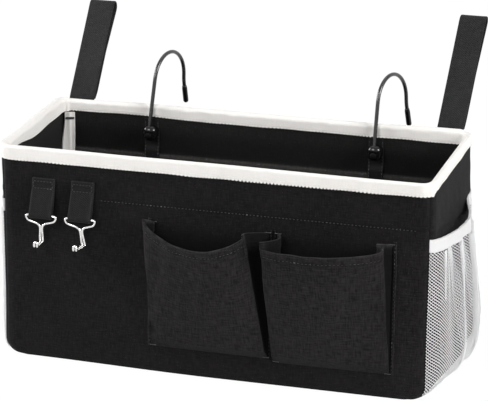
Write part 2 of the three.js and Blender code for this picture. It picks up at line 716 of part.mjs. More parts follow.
// Hanging hooks: a leaning shank, a half-round crook and a covered tip, turning in a socket.
const hookBandFace = halfDepth - innerNear - gap - hookBandThickness / 2;
const hookBandLedge = boardTop + ledgeRise + hookBandMargin;
const hookBandLowFace = halfDepth - innerFar - gap - hookBandThickness / 2;
const hookFoot = bodyHeight - hookFootDrop;
const rivetHeight = hookFoot - rivetDrop;
const socketFront = halfDepth - socketInset;
const socketBack = hookBandFace - hookBandThickness / 2 - gap;
for (const hook of hooks) {
  const centre = hook.sign * hookCentre + hookShift;
  const yaw = degrees(hook.yaw);
  const lean = degrees(hook.lean);
  const foot = new THREE.Vector3(centre, halfDepth - hookInset, hookFoot);
  const flare = degrees(hookTipFlare);
  const upAxis = new THREE.Vector3(
    Math.sin(lean) * Math.cos(yaw),
    Math.sin(lean) * Math.sin(yaw),
    Math.cos(lean),
  );
  const outAxis = new THREE.Vector3(
    Math.cos(lean) * Math.cos(yaw),
    Math.cos(lean) * Math.sin(yaw),
    -Math.sin(lean),
  );
  upAxis.applyAxisAngle(outAxis, -degrees(hook.roll));
  const place = (point) => foot.clone().addScaledVector(outAxis, point[0]).addScaledVector(upAxis, point[1]);
  const tipPoint = (way) => [
    2 * hookRadius + way * Math.sin(flare),
    hookShank - way * Math.cos(flare),
  ];
  const path = [
    [0, -hookInsert],
    [0, 0],
    [0, hookShank / 2],
    ...arcPoints([hookRadius, hookShank], hookRadius, Math.PI, 0, foldSteps),
    tipPoint(hookTipLength / 3),
    tipPoint(hookTipLength - hookTipCover),
    tipPoint(hookTipLength),
  ].map(place);
  addPart(`${hook.side}_hook`, wire(path, hookWire, hookSteps, hookSides), materials.enamel);

  const sleeveInner = hookWire / 2 + hookTipGap;
  const sleeveOuter = hookTipDiameter / 2;
  const sleeveEnd = hookTipCover + gap + tapeThickness;
  const sleeve = new THREE.LatheGeometry(
    [
      [sleeveInner, 0],
      [sleeveOuter - hookTipRound / 2, 0],
      [sleeveOuter, hookTipRound],
      [sleeveOuter, sleeveEnd - 2 * hookTipRound],
      [sleeveOuter * hookTipNose, sleeveEnd - hookTipRound / 4],
      [0, sleeveEnd],
      [0, hookTipCover + gap],
      [sleeveInner, hookTipCover + gap],
      [sleeveInner, 0],
    ].map((point) => new THREE.Vector2(point[0], point[1])),
    sleeveSides,
  );
  const tipStart = place(tipPoint(hookTipLength - hookTipCover));
  const tipDown = place(tipPoint(hookTipLength)).sub(tipStart).normalize();
  const tipTurn = new THREE.Quaternion().setFromUnitVectors(new THREE.Vector3(0, 1, 0), tipDown);
  sleeve.applyQuaternion(tipTurn);
  sleeve.translate(...tipStart.toArray());
  const sleeveClear = toSolid(wire(path, hookWire + gap, hookSteps, hookSides));
  addPart(`${hook.side}_hook_tip`, toGeometry(toSolid(sleeve).subtract(sleeveClear)), materials.plastic);

  const half = socketWidth / 2;
  const outline = new THREE.Shape();
  outline.moveTo(-half, socketBack);
  outline.lineTo(-half, socketFront + socketRound);
  outline.absarc(-half + socketRound, socketFront + socketRound, socketRound, Math.PI, 1.5 * Math.PI, false);
  const rounding = socketFront + socketRound;
  outline.absarc(half - socketRound, rounding, socketRound, 1.5 * Math.PI, 2 * Math.PI, false);
  outline.lineTo(half, socketBack);
  const body = new THREE.ExtrudeGeometry(outline, {
    depth: socketHeight,
    bevelEnabled: false,
    curveSegments: arcSteps,
  });
  body.translate(centre, 0, hookFoot - socketHeight);
  const bore = new THREE.CylinderGeometry(
    hookWire / 2 + socketBoreGap,
    hookWire / 2 + socketBoreGap,
    2 * (hookInsert + gap),
    boreSides,
  );
  bore.applyQuaternion(new THREE.Quaternion().setFromUnitVectors(new THREE.Vector3(0, 1, 0), upAxis));
  bore.translate(...foot.toArray());
  const rivetBore = new THREE.CylinderGeometry(
    rivetShank / 2 + gap,
    rivetShank / 2 + gap,
    4 * socketWidth,
    boreSides,
  );
  rivetBore.translate(centre, socketFront, rivetHeight);
  const socket = toSolid(body).subtract(toSolid(bore)).subtract(toSolid(rivetBore));
  addPart(`${hook.side}_hook_socket`, toGeometry(socket), materials.plastic);

  const rivet = new THREE.LatheGeometry(
    [
      [0, socketBack],
      [rivetShank / 2, socketBack],
      [rivetShank / 2, socketFront - gap],
      ...rivetProfile.map(([out, rise]) => [(out * rivetHead) / 2, socketFront - gap - rise * rivetDome]),
    ].map((point) => new THREE.Vector2(point[0], -point[1])),
    rivetSides,
  );
  rivet.rotateX(Math.PI);
  rivet.translate(centre, 0, rivetHeight);
  addPart(`${hook.side}_hook_rivet`, rivet, materials.plastic);

  const bandPath = [
    [hookBandLowFace, bodyHeight - hookBandDrop],
    [hookBandLowFace, hookBandLedge],
    [hookBandFace, hookBandLedge + hookBandStep],
    [hookBandFace, bindingBottom - gap],
  ];
  addPart(
    `${hook.side}_hook_band`,
    ribbon(bandPath, hookBandThickness, centre, hookBandWidth),
    materials.webbing,
  );
}

// Key tabs: webbing doubled around the crossbar of a bent wire hook.
const tabTop = bodyHeight - tabDrop;
const tabBend = tabTop - tabSewn;
const keyBarHeight = tabTop - tabLength;
const tabFace = -halfDepth - gap - tabThickness / 2;
const tabFront = tabFace - tabThickness - gap;
const keyBar = -halfDepth - keyBarReach;
const tabLoop = keyWire / 2 + gap + tabThickness / 2;
for (const tab of keyTabs) {
  const lean = Math.atan2(tabFace - keyBar, tabBend - keyBarHeight);
  const tabPath = [
    [tabFace, tabTop],
    [tabFace, tabBend],
    ...arcPoints([keyBar, keyBarHeight], tabLoop, -lean, -lean - Math.PI, foldSteps),
    [tabFront, tabBend],
    [tabFront, tabTop],
  ];
  addPart(`${tab.side}_key_tab`, ribbon(tabPath, tabThickness, tab.centre, tabWidth), materials.webbing);

  const half = keyWire / 2 + keyWireGap / 2;
  const neck = keyBarHeight - keyNeckDrop;
  const curlHeight = keyBarHeight - keyShankDrop;
  const curlCentre = keyBar - keyCurl;
  const curl = (angle) => [
    curlCentre + keyCurl * Math.cos(angle),
    curlHeight - keyCurlDrop * Math.sin(angle),
  ];
  const tipHeight = curlHeight + keyTipRise;
  const oneSide = [
    [keyWireGap / 2, keyBar, keyBarHeight],
    [keyBarHalf / 2, keyBar, keyBarHeight],
    [keyBarHalf, keyBar, keyBarHeight],
    [keyBarHalf + keyEndRadius * 0.8, keyBar, keyBarHeight - keyEndRadius * 0.45],
    [keyBarHalf + keyEndRadius * 0.6, keyBar, keyBarHeight - keyEndRadius * 1.4],
    [keyBarHalf - keyEndRadius * 0.6, keyBar, keyBarHeight - keyEndRadius * 2],
    [half + keyNeckEase, keyBar, neck + keyNeckEase * 0.4],
    [half, keyBar, neck - keyNeckEase * 0.6],
    [half, keyBar, curlHeight + keyNeckEase * 1.5],
    [half, ...curl(0)],
    [half, ...curl(Math.PI / 3)],
    [half, ...curl((2 * Math.PI) / 3)],
    [half, ...curl(Math.PI)],
    [half, curlCentre - keyCurl, tipHeight - half],
  ];
  const tip = [0, curlCentre - keyCurl, tipHeight];
  const otherSide = oneSide.map((point) => [-point[0], point[1], point[2]]).reverse();
  // The shank leans sideways from the end loops down, and its curl turns back towards the middle.
  const shift = (y, z) =>
    tab.lean * Math.max(0, keyBarHeight - 2 * keyEndRadius - z) * (1 - (keyBar - y) / (2 * keyCurl));
  const points = [...oneSide, tip, ...otherSide].map(
    ([x, y, z]) => new THREE.Vector3(tab.centre + x + shift(y, z), y, z),
  );
  addPart(`${tab.side}_key_hook`, wire(points, keyWire, keySteps, keySides), materials.chrome);
}

export default caddy;
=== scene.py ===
import bmesh
import bpy
import numpy as np
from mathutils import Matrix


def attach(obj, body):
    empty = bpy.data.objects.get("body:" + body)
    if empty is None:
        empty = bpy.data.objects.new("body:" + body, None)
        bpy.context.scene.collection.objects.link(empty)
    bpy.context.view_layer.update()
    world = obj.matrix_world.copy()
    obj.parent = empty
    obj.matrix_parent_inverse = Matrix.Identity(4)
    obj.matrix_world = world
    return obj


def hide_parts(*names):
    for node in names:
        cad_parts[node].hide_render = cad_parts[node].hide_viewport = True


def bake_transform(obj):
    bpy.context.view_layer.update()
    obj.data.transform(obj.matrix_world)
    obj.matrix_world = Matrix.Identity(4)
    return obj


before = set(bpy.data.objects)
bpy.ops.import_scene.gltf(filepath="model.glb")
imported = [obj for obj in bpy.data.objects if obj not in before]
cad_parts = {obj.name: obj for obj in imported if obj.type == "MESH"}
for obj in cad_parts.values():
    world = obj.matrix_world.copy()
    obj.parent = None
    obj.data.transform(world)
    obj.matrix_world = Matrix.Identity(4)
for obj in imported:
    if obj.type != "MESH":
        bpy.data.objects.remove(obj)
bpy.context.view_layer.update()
mm = 0.001
tau = 2 * np.pi
weld = {"join": 2e-6, "drop": 1e-7}

# Camera at the photograph's viewing angle
view = {"eye": (594.09, -1973.15, 815.0), "azimuth": 16.63, "elevation": 18.62, "lens": 205.67}
scene = bpy.context.scene
scene.view_settings.view_transform = "Standard"
cameraData = bpy.data.cameras.new("photo_camera")
cameraData.lens = view["lens"]
cameraData.sensor_width = 36
camera = bpy.data.objects.new("photo_camera", cameraData)
camera.location = [value * mm for value in view["eye"]]
camera.rotation_euler = np.radians([90 - view["elevation"], 0, view["azimuth"]])
scene.collection.objects.link(camera)
scene.camera = camera
print("camera set")


class Shade:
    # One shader socket: arithmetic on it adds Math nodes, node() adds any other node.
    def __init__(self, tree, socket=None):
        self.tree = tree
        self.socket = socket

    def node(self, kind, settings=None, inputs=None, output=0):
        made = self.tree.nodes.new(kind)
        for key, value in (settings or {}).items():
            setattr(made, key, value)
        for key, value in (inputs or {}).items():
            if isinstance(value, Shade):
                self.tree.links.new(value.socket, made.inputs[key])
            else:
                made.inputs[key].default_value = value
        return Shade(self.tree, made.outputs[output])

    def also(self, output):
        return Shade(self.tree, self.socket.node.outputs[output])

    def math(self, operation, *values):
        return self.node("ShaderNodeMath", {"operation": operation}, dict(enumerate(values)))

    def to(self, operation, *more):
        return self.math(operation, self, *more)

    def clamped(self):
        return self.to("MAXIMUM", 0.0).to("MINIMUM", 1.0)

    def __add__(self, other):
        return self.math("ADD", self, other)

    def __sub__(self, other):
        return self.math("SUBTRACT", self, other)

    def __rsub__(self, other):
        return self.math("SUBTRACT", other, self)

    def __mul__(self, other):
        return self.math("MULTIPLY", self, other)

    __radd__ = __add__
    __rmul__ = __mul__


def finish(name, fixed, paint):
    # Fixed sockets take plain numbers; paint gives the links for what changes over the surface.
    material = bpy.data.materials.new(name)
    material.use_nodes = True
    tree = material.node_tree
    shader = tree.nodes["Principled BSDF"]
    for key, value in fixed.items():
        shader.inputs[key].default_value = value
    for key, value in paint(Shade(tree)).items():
        tree.links.new(value.socket, shader.inputs[key])
    return material


def mixColour(start, factor, first, second, clamp=True):
    pick = lambda value: value if isinstance(value, Shade) else (*value, 1)
    settings = {"data_type": "RGBA", "clamp_factor": clamp}
    return start.node("ShaderNodeMix", settings, {0: factor, 6: pick(first), 7: pick(second)}, 2)


def noise(start, vector, scale, detail=2.0, rough=0.5):
    return start.node("ShaderNodeTexNoise", {}, {
        "Vector": vector, "Scale": scale, "Detail": detail, "Roughness": rough})


def joined(start, x, y):
    return start.node("ShaderNodeCombineXYZ", {}, {0: x, 1: y, 2: 0.0})


def objectPlace(start):
    return start.node("ShaderNodeTexCoord", output="Object")


def clothWay(start):
    return start.node("ShaderNodeUVMap", {"uv_map": "cloth"})


def raised(start, strength, distance, height):
    return start.node("ShaderNodeBump", {}, {"Strength": strength, "Distance": distance * mm, "Height": height})


# Height of the threads: plain over and under, slanting twill in a herringbone, or ribs across.
def threads(across, up, look):
    pitch = look["pitch"]
    if look["weave"] == "plain":
        warp = (across * (np.pi / pitch)).to("SINE")
        weft = (up * (np.pi / pitch)).to("SINE")
        cross = warp * weft
        over = warp.to("ABSOLUTE") * (0.5 + 0.5 * cross)
        return over.to("MAXIMUM", weft.to("ABSOLUTE") * (0.5 - 0.5 * cross))
    if look["weave"] == "twill":
        slant = across.to("PINGPONG", look["fold"]) * 0.8 + up
        ridge = (slant * (np.pi / pitch)).to("SINE").to("ABSOLUTE")
        rib = (across * (np.pi / (0.7 * pitch))).to("SINE").to("ABSOLUTE")
        return ridge * 0.75 + rib * 0.25
    return (across * (np.pi / pitch)).to("SINE").to("ABSOLUTE")


# Woven cloth: threads, thick and thin yarn both ways, a broad unevenness and a little lint.
def clothPaint(look):
    def paint(start):
        way = clothWay(start)
        across = start.node("ShaderNodeSeparateXYZ", {}, {0: way})
        up = across.also("Y")
        height = threads(across, up, look)
        fine, coarse = look["yarn"]
        warpYarn = noise(start, joined(start, across * coarse, up * fine), 1.0)
        weftYarn = noise(start, joined(start, across * fine, up * coarse), 1.0)
        yarn = (warpYarn + weftYarn) * 0.5
        broad = noise(start, objectPlace(start), look["broad"], 3.0)
        tone = height * look["threadTone"] + (yarn - 0.5) * look["yarnTone"]
        tone = (tone + (broad - 0.5) * look["broadTone"] + look["middle"]).clamped()
        colour = mixColour(start, tone, look["dark"], look["light"])
        speck = start.node("ShaderNodeTexVoronoi", {"voronoi_dimensions": "2D"}, {
            "Vector": way, "Scale": look["lintScale"]})
        lint = speck.to("LESS_THAN", look["lintSize"]) * look["lintTone"]
        colour = mixColour(start, lint, colour, look["lint"])
        # The piece's shade attribute scales the colour; the pieces use it mostly for painted shade and painted
        # highlights
        shade = start.node("ShaderNodeAttribute", {"attribute_name": "shade"}, output="Fac")
        colour = mixColour(start, shade, (0, 0, 0), colour, False)
        rough = (look["rough"] + (yarn - 0.5) * 0.2).to("MINIMUM", 1.0)
        bump = raised(start, look["bump"], look["relief"], height * 0.7 + yarn * 0.6)
        return {"Base Color": colour, "Roughness": rough, "Normal": bump}
    return paint


clothBase = {
    "weave": "plain", "pitch": 0.62, "fold": 5.0, "yarn": (0.13, 0.95), "broad": 14.0,
    "threadTone": 0.25, "yarnTone": 2.6, "broadTone": 0.8, "middle": 0.35,
    "lintScale": 0.16, "lintSize": 0.045, "lintTone": 0.5, "lint": (0.05, 0.05, 0.05),
    "rough": 0.88, "bump": 0.5, "relief": 0.25,
}
looks = {
    "canvas": {"dark": (0.0022, 0.0020, 0.0021), "light": (0.0118, 0.0106, 0.0112), "yarnTone": 3.8},
    "pocketCanvas": {"dark": (0.0045, 0.0041, 0.0043), "light": (0.0220, 0.0202, 0.0208), "yarnTone": 4.2},
    "lining": {
        "dark": (0.0040, 0.0039, 0.0038), "light": (0.0125, 0.0119, 0.0115), "pitch": 0.5, "lintTone": 0.45,
    },
    "darkWebbing": {
        "weave": "rib", "dark": (0.0022, 0.0022, 0.0022), "light": (0.0070, 0.0070, 0.0070), "pitch": 0.9,
        "threadTone": 0.6, "yarnTone": 0.6, "relief": 0.3, "rough": 0.7,
    },
    "tape": {
        "dark": (0.745, 0.715, 0.68), "light": (0.885, 0.865, 0.84), "pitch": 0.42, "middle": 0.55,
        "yarnTone": 0.9, "lintTone": 0.0, "relief": 0.18, "rough": 0.8,
    },
    "elastic": {
        "weave": "rib", "dark": (0.66, 0.655, 0.66), "light": (0.76, 0.755, 0.76), "pitch": 1.1, "middle": 0.45,
        "yarnTone": 0.5, "lintTone": 0.0, "relief": 0.35, "bump": 0.7, "rough": 0.75,
    },
    "webbing": {
        "weave": "twill", "dark": (0.0035, 0.0035, 0.0037), "light": (0.034, 0.034, 0.035), "pitch": 1.6,
        "threadTone": 0.8, "yarnTone": 1.5, "middle": -0.1, "relief": 0.4, "bump": 0.8, "rough": 0.7,
        "lintTone": 0.4,
    },
    "fastener": {
        "dark": (0.004, 0.004, 0.0045), "light": (0.020, 0.020, 0.021), "pitch": 1.2, "yarn": (2.2, 2.8),
        "relief": 0.6, "bump": 0.9, "rough": 0.95,
    },
}
clothShine = {"Specular IOR Level": 0.12, "Sheen Weight": 0.03, "Sheen Roughness": 0.5}
paleShine = {"Specular IOR Level": 0.3, "Sheen Weight": 0.1, "Sheen Roughness": 0.4}
finishes = {}
for lookName, look in looks.items():
    pale = lookName in ("tape", "elastic")
    finishes[lookName] = finish(lookName, paleShine if pale else clothShine, clothPaint({**clothBase, **look}))


# Sewing thread: a twisted ply, with painted glints that make some stitches lighter than others, as if they
# caught more light.
sewing = {
    "ply": 0.5, "slant": 1.5, "chance": 190.0, "chanceFrom": 0.56, "chanceGain": 7.0,
    "stretch": 42.0, "stretchFrom": 0.44, "stretchGain": 6.0, "bump": 0.5, "relief": 0.1,
}


def threadPaint(dark, light):
    def paint(start):
        along = start.node("ShaderNodeSeparateXYZ", {}, {0: clothWay(start)})
        slant = along + along.also("Y") * sewing["slant"]
        ply = (slant * (np.pi / sewing["ply"])).to("SINE").to("ABSOLUTE")
        place = objectPlace(start)
        chance = (noise(start, place, sewing["chance"], 1.0) - sewing["chanceFrom"]) * sewing["chanceGain"]
        stretch = (noise(start, place, sewing["stretch"], 1.0) - sewing["stretchFrom"]) * sewing["stretchGain"]
        paintedGlint = chance.clamped() * stretch.clamped()
        bump = raised(start, sewing["bump"], sewing["relief"], ply)
        return {"Base Color": mixColour(start, paintedGlint * 0.8 + ply * 0.2, dark, light), "Normal": bump}
    return paint


threadLooks = {
    "blackThread": ("black_thread", 0.6, 0.2, (0.004, 0.004, 0.004), (0.26, 0.26, 0.26)),
    "tackThread": ("tack_thread", 0.5, 0.4, (0.05, 0.05, 0.05), (0.26, 0.26, 0.25)),
    "paleThread": ("pale_thread", 0.6, 0.3, (0.76, 0.735, 0.70), (0.86, 0.84, 0.81)),
}
for name, (label, rough, shine, dark, light) in threadLooks.items():
    finishes[name] = finish(label, {"Roughness": rough, "Specular IOR Level": shine}, threadPaint(dark, light))


# Net yarn: bright knitted strands with a faint unevenness.
yarnLook = {
    "dark": (0.86, 0.86, 0.87), "light": (0.955, 0.955, 0.96), "fine": 420.0, "broad": 28.0,
    "bump": 0.3, "relief": 0.1,
}


def netPaint(start):
    place = objectPlace(start)
    uneven = noise(start, place, yarnLook["fine"])
    tone = (uneven * 0.6 + noise(start, place, yarnLook["broad"]) * 0.6 - 0.1).clamped()
    bump = raised(start, yarnLook["bump"], yarnLook["relief"], uneven)
    return {"Base Color": mixColour(start, tone, yarnLook["dark"], yarnLook["light"]), "Normal": bump}


# Hard finishes: two tones and two roughnesses mixed by fine and broad noise, with a light relief.
def hardPaint(dark, light, smooth, rough, scale, relief):
    def paint(start):
        place = objectPlace(start)
        fine = noise(start, place, scale, 3.0, 0.6)
        tone = (fine * 0.5 + noise(start, place, scale / 9) * 0.8 - 0.15).clamped()
        colour = mixColour(start, tone, dark, light)
        rise = raised(start, 0.25, relief, fine)
        return {"Base Color": colour, "Roughness": smooth + (rough - smooth) * tone, "Normal": rise}
    return paint


finishes["net"] = finish("net_yarn", {"Roughness": 0.6, "Specular IOR Level": 0.4}, netPaint)
hardLooks = {
    "enamel": (
        "black_enamel", {"Specular IOR Level": 0.45, "Coat Weight": 0.4, "Coat Roughness": 0.06},
        (0.004, 0.004, 0.0045), (0.010, 0.010, 0.011), 0.16, 0.30, 700.0, 0.03),
    "plastic": (
        "black_plastic", {"Specular IOR Level": 0.3},
        (0.002, 0.002, 0.002), (0.006, 0.006, 0.006), 0.10, 0.20, 900.0, 0.02),
    "dullPlastic": (
        "dull_black_plastic", {"Specular IOR Level": 0.08},
        (0.002, 0.002, 0.002), (0.005, 0.005, 0.005), 0.5, 0.7, 700.0, 0.04),
    "chrome": (
        "bright_wire", {"Metallic": 1.0},
        (0.66, 0.65, 0.64), (0.86, 0.855, 0.85), 0.10, 0.24, 600.0, 0.02),
    "board": (
        "grey_board", {"Specular IOR Level": 0.2},
        (0.17, 0.135, 0.095), (0.30, 0.25, 0.19), 0.82, 0.95, 260.0, 0.15),
    "stay": (
        "rim_stay_plastic", {"Specular IOR Level": 0.4},
        (0.030, 0.030, 0.031), (0.055, 0.055, 0.056), 0.40, 0.55, 300.0, 0.05),
}
for name, (label, fixed, *paint) in hardLooks.items():
    finishes[name] = finish(label, fixed, hardPaint(*paint))
print("finishes made:", len(finishes))

toFront, toBack = np.array([0.0, -1.0, 0.0]), np.array([0.0, 1.0, 0.0])


# Points from their coordinates, each stretched to the common shape.
def placed(*coordinates):
    return np.stack(np.broadcast_arrays(*coordinates), -1)


def wayAlong(points, axis):
    steps = np.linalg.norm(np.diff(points, axis=axis), axis=-1)
    start = np.zeros_like(np.take(steps, [0], axis=axis))
    return np.concatenate([start, np.cumsum(steps, axis=axis)], axis=axis)


# Patches: points in millimetres, four-cornered faces and a place on the cloth for each point.
def gridFaces(rows, columns):
    index = np.arange(rows * columns).reshape(rows, columns)
    return np.stack([index[:-1, :-1], index[:-1, 1:], index[1:, 1:], index[1:, :-1]], -1).reshape(-1, 4)


def gridPatch(points, cloth):
    rows, columns = points.shape[:2]
    return points.reshape(-1, 3), gridFaces(rows, columns), cloth.reshape(-1, 2)


# Many grids of one size in one patch.
def manyGrids(points, cloth):
    count, rows, columns = points.shape[:3]
    faces = gridFaces(rows, columns)[None] + rows * columns * np.arange(count)[:, None, None]
    return points.reshape(-1, 3), faces.reshape(-1, 4), cloth.reshape(-1, 2)


def unit(vectors):
    return vectors / np.maximum(np.linalg.norm(vectors, axis=-1, keepdims=True), 1e-9)


def gridNormals(points):
    return unit(np.cross(np.gradient(points, axis=1), np.gradient(points, axis=0)))


# Cloth with a thickness: the outer face, the inner face behind it and a rim between the two.
def shellPatch(outer, thickness, cloth, shade=1.0):
    rows, columns = outer.shape[:2]
    inner = outer - gridNormals(outer) * np.broadcast_to(thickness, (rows, columns))[..., None]
    points = np.concatenate([outer, inner[::-1], outer[:1]])
    places = np.concatenate([cloth, cloth[::-1], cloth[:1]])
    shade = np.broadcast_to(shade, (rows, columns))
    shades = np.concatenate([shade, shade[::-1], shade[:1]])
    row = np.arange(rows - 1)
    ends = []
    for column, order in ((0, 1), (columns - 1, -1)):
        front, back = row * columns + column, (2 * rows - 1 - row) * columns + column
        ends.append(np.stack([front, front + columns, back - columns, back], -1)[:, ::order])
    faces = np.concatenate([gridFaces(2 * rows + 1, columns), *ends])
    return points.reshape(-1, 3), faces, places.reshape(-1, 2), shades.ravel()


# Round wire: rings square to the path, shrinking to nothing at its two rounded ends.
def tubePatch(path, radius, sides, reference):
    along = unit(np.gradient(path, axis=0))
    side = unit(np.cross(along, np.asarray(reference, float)))
    size = np.broadcast_to(radius, len(path))
    swing = np.linspace(0, np.pi / 2, 6)
    sine, cosine = np.sin(swing), np.cos(swing)
    first = path[0] - along[0] * size[0] * cosine[:, None]
    last = path[-1] + along[-1] * size[-1] * sine[:, None]
    path = np.concatenate([first, path, last])
    size = np.concatenate([size[0] * sine, size, size[-1] * cosine])
    ends = (len(swing), len(swing)), (0, 0)
    side, over = np.pad(side, ends, "edge"), np.pad(np.cross(side, along), ends, "edge")
    turn = np.linspace(0, tau, sides + 1)
    ring = np.cos(turn)[:, None] * side[:, None] + np.sin(turn)[:, None] * over[:, None]
    points = path[:, None] + ring * size[:, None, None]
    return gridPatch(points, placed(turn * np.max(size), wayAlong(path, 0)[:, None]))


# Sewn stitches: short arched threads along a path. Each kind has its pitch, length, radius and lift.
stitches = {
    "binding": (2.75, 2.0, 0.2, 0.12), "cornerTack": (0.9, 1.2, 0.42, 0.2), "front": (2.8, 1.4, 0.32, 0.2),
    "hem": (3.0, 1.7, 0.2, 0.12), "flange": (3.0, 1.6, 0.16, 0.05), "pocketTack": (0.8, 0.75, 0.3, 0.15),
    "elastic": (3.0, 2.2, 0.2, 0.12), "strap": (2.6, 1.9, 0.28, 0.25), "hookBand": (2.8, 2.0, 0.24, 0.25),
    "keyTab": (2.4, 1.6, 0.3, 0.25),
}


def stitchPatch(path, facing, kind):
    pitch, length, radius, lift = stitches[kind]
    way = wayAlong(path, 0)
    count = max(1, int(way[-1] // pitch))
    ring = np.array([-1, -0.75, 0, 0.75, 1])
    shrink = np.array([0, 0.85, 1, 0.85, 0])
    at = ((np.arange(count) + 0.5) * way[-1] / count)[:, None] + ring * length / 2
    facing = np.broadcast_to(facing, path.shape)
    carried = lambda values: np.stack([np.interp(at, way, values[:, axis]) for axis in range(3)], -1)
    centre, out = carried(path), unit(carried(facing))
    along = unit(np.gradient(centre, axis=1))
    side = np.cross(along, out)
    centre = centre + out * (lift * (1 - ring ** 2))[:, None]
    turn = np.linspace(0, tau, 7)[:, None]
    swing = np.cos(turn) * out[:, :, None] * 0.8 + np.sin(turn) * side[:, :, None]
    points = centre[:, :, None] + swing * (radius * shrink)[:, None, None]
    return manyGrids(points, placed(turn[:, 0] * radius, at[:, :, None]))


# Flat webbing: a section with round edges carried along a path in the depth and height plane.
def ribbonPatch(path, width, thickness, centre, shift=0.0, edgeRidge=0.0):
    along = unit(np.gradient(path, axis=0))
    half, edge = width / 2 - thickness / 2, thickness / 2
    across = np.linspace(-half, half, 19)
    swing = np.linspace(-np.pi / 2, np.pi / 2, 7)[1:-1]
    face = edge + edgeRidge * bell(half - 0.9 - np.abs(across), 0.5)
    side, bend = half + edge * np.cos(swing), edge * np.sin(swing)
    sectionX = np.concatenate([across, side, across[::-1], -side, across[:1]])
    sectionOut = np.concatenate([-face, bend, face[::-1], -bend, -face[:1]])
    bothEnds = (1, 1), (0, 0)
    rows, out = np.pad(path, bothEnds, "edge"), np.pad(along[:, ::-1] * (-1, 1), bothEnds, "edge")
    shift = np.pad(np.broadcast_to(shift, len(path)), 1, "edge")
    through = sectionOut * np.pad(np.ones(len(path)), 1)[:, None]
    y, z = (rows[:, [axis]] + out[:, [axis]] * through for axis in (0, 1))
    points = placed(centre + shift[:, None] + sectionX, y, z)
    return gridPatch(points, placed(sectionX + width / 2, wayAlong(rows, 0)[:, None]))


def makePiece(name, patches, look, sharp=45, ease=None):
    counts = np.cumsum([0] + [len(patch[0]) for patch in patches])
    points = np.concatenate([patch[0] for patch in patches])
    points = (ease(points) if ease else points) * mm
    shade = np.concatenate([patch[3] if len(patch) > 3 else np.ones(len(patch[0])) for patch in patches])
    faces = np.concatenate([patch[1] + start for patch, start in zip(patches, counts)])
    cloth = np.concatenate([patch[2] for patch in patches])
    a, b, c, d = (points[faces[:, corner]] for corner in range(4))
    if (a * (np.cross(b, c) + np.cross(c, d))).sum() < 0:
        faces = faces[:, ::-1]
    mesh = bpy.data.meshes.new(name)
    mesh.vertices.add(len(points))
    mesh.vertices.foreach_set("co", points.astype(np.float32).ravel())
    mesh.loops.add(faces.size)
    mesh.loops.foreach_set("vertex_index", faces.astype(np.int32).ravel())
    mesh.polygons.add(len(faces))
    mesh.polygons.foreach_set("loop_start", np.arange(0, faces.size, 4, dtype=np.int32))
    mesh.polygons.foreach_set("use_smooth", np.ones(len(faces), dtype=bool))
    layer = mesh.uv_layers.new(name="cloth")
    layer.data.foreach_set("uv", cloth[faces.ravel()].astype(np.float32).ravel())
    mesh.attributes.new("shade", "FLOAT", "POINT").data.foreach_set("value", shade.astype(np.float32))
    mesh.update(calc_edges=True)
    mesh.validate()
    knit = bmesh.new()
    knit.from_mesh(mesh)
    bmesh.ops.remove_doubles(knit, verts=knit.verts, dist=weld["join"])
    bmesh.ops.dissolve_degenerate(knit, edges=knit.edges, dist=weld["drop"])
    knit.to_mesh(mesh)
    knit.free()
    mesh.set_sharp_from_angle(angle=np.radians(sharp))
    mesh.materials.append(finishes[look])
    piece = bpy.data.objects.new(name, mesh)
    scene.collection.objects.link(piece)
    return piece


# A piece with the body that carries it and the nodes that it stands for, which it hides.
def dress(name, patches, look, carrier, slot, *nodes, **options):
    piece = makePiece(name, patches, look, **options)
    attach(piece, carrier)
    if nodes:
        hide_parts(*nodes)
    return piece


# Slow unevenness of cloth: a sum of seeded plane waves about as long as size, with a spread of about one.
def softNoise(points, seed, size):
    parts = 12
    draw = np.random.default_rng(seed)
    heading = unit(draw.normal(size=(parts, 3)))
    pitch = size * draw.uniform(0.7, 1.6, parts)
    phase = draw.uniform(0, tau, parts)
    return np.cos(points @ (heading * (tau / pitch)[:, None]).T + phase).sum(-1) * np.sqrt(2 / parts)


def bell(distance, width):
    return np.exp(-(distance / width) ** 2)


def step(value, low, high):
    share = np.clip((value - low) / (high - low), 0, 1)
    return share * share * (3 - 2 * share)


# Body of the caddy, as its solids have it
body = {
    "width": 342.0, "depth": 137.0, "height": 172.0, "planRadius": 11.0, "footRadius": 11.5,
    "wallTop": 169.4, "boardTop": 128.0, "ledgeRise": 6.0, "footRound": 2.0,
    "canvas": 1.0, "liningFar": 4.9, "liningNear": 3.4, "lining": 0.8,
}
halfWidth, halfDepth = body["width"] / 2, body["depth"] / 2


# How far the round lower corner draws a face in at a height.
def footDrop(inset, height):
    radius = body["footRadius"] - inset
    below = np.maximum(0, radius - (height - inset))
    return radius - np.sqrt(np.maximum(0, radius ** 2 - below ** 2))


# Slack of the outer cloth: both ends stand out, the front bows, and the right side fills out behind its net.
slack = {
    "ends": (110, 171), "left": 1.75, "leftFoot": 0.85, "right": 5.4, "bow": 5.5, "bowTop": 130.0,
    "foot": 6.5, "footEnd": (110, 168), "footMiddle": -6.0, "footReach": 60.0, "footPower": 1.4,
}


def easeOut(points):
    x, y, z = points.T
    out = points.copy()
    left = slack["left"] + slack["leftFoot"] * (1 - step(z, 5, 60))
    out[:, 0] -= left * step(-x, *slack["ends"]) * (1 - 0.4 * step(z, 150, 200))
    out[:, 0] += slack["right"] * step(x, *slack["ends"]) * step(y, -60, 60) * (1 - step(z, 15, 165))
    out[:, 1] -= slack["bow"] * step(x, -165, 0) * (1 - step(z, 25, slack["bowTop"])) * step(-y, 0, 60)
    return out


def fillFoot(points):
    x, y, z = points.T
    out = easeOut(points)
    aside = np.clip((y - slack["footMiddle"]) / slack["footReach"], -1, 1)
    fill = slack["foot"] * np.cos(np.pi / 2 * aside) ** slack["footPower"]
    out[:, 0] += fill * step(x, *slack["footEnd"]) * step(z, 1.5, 14) * (1 - step(z, 35, 100))
    return out


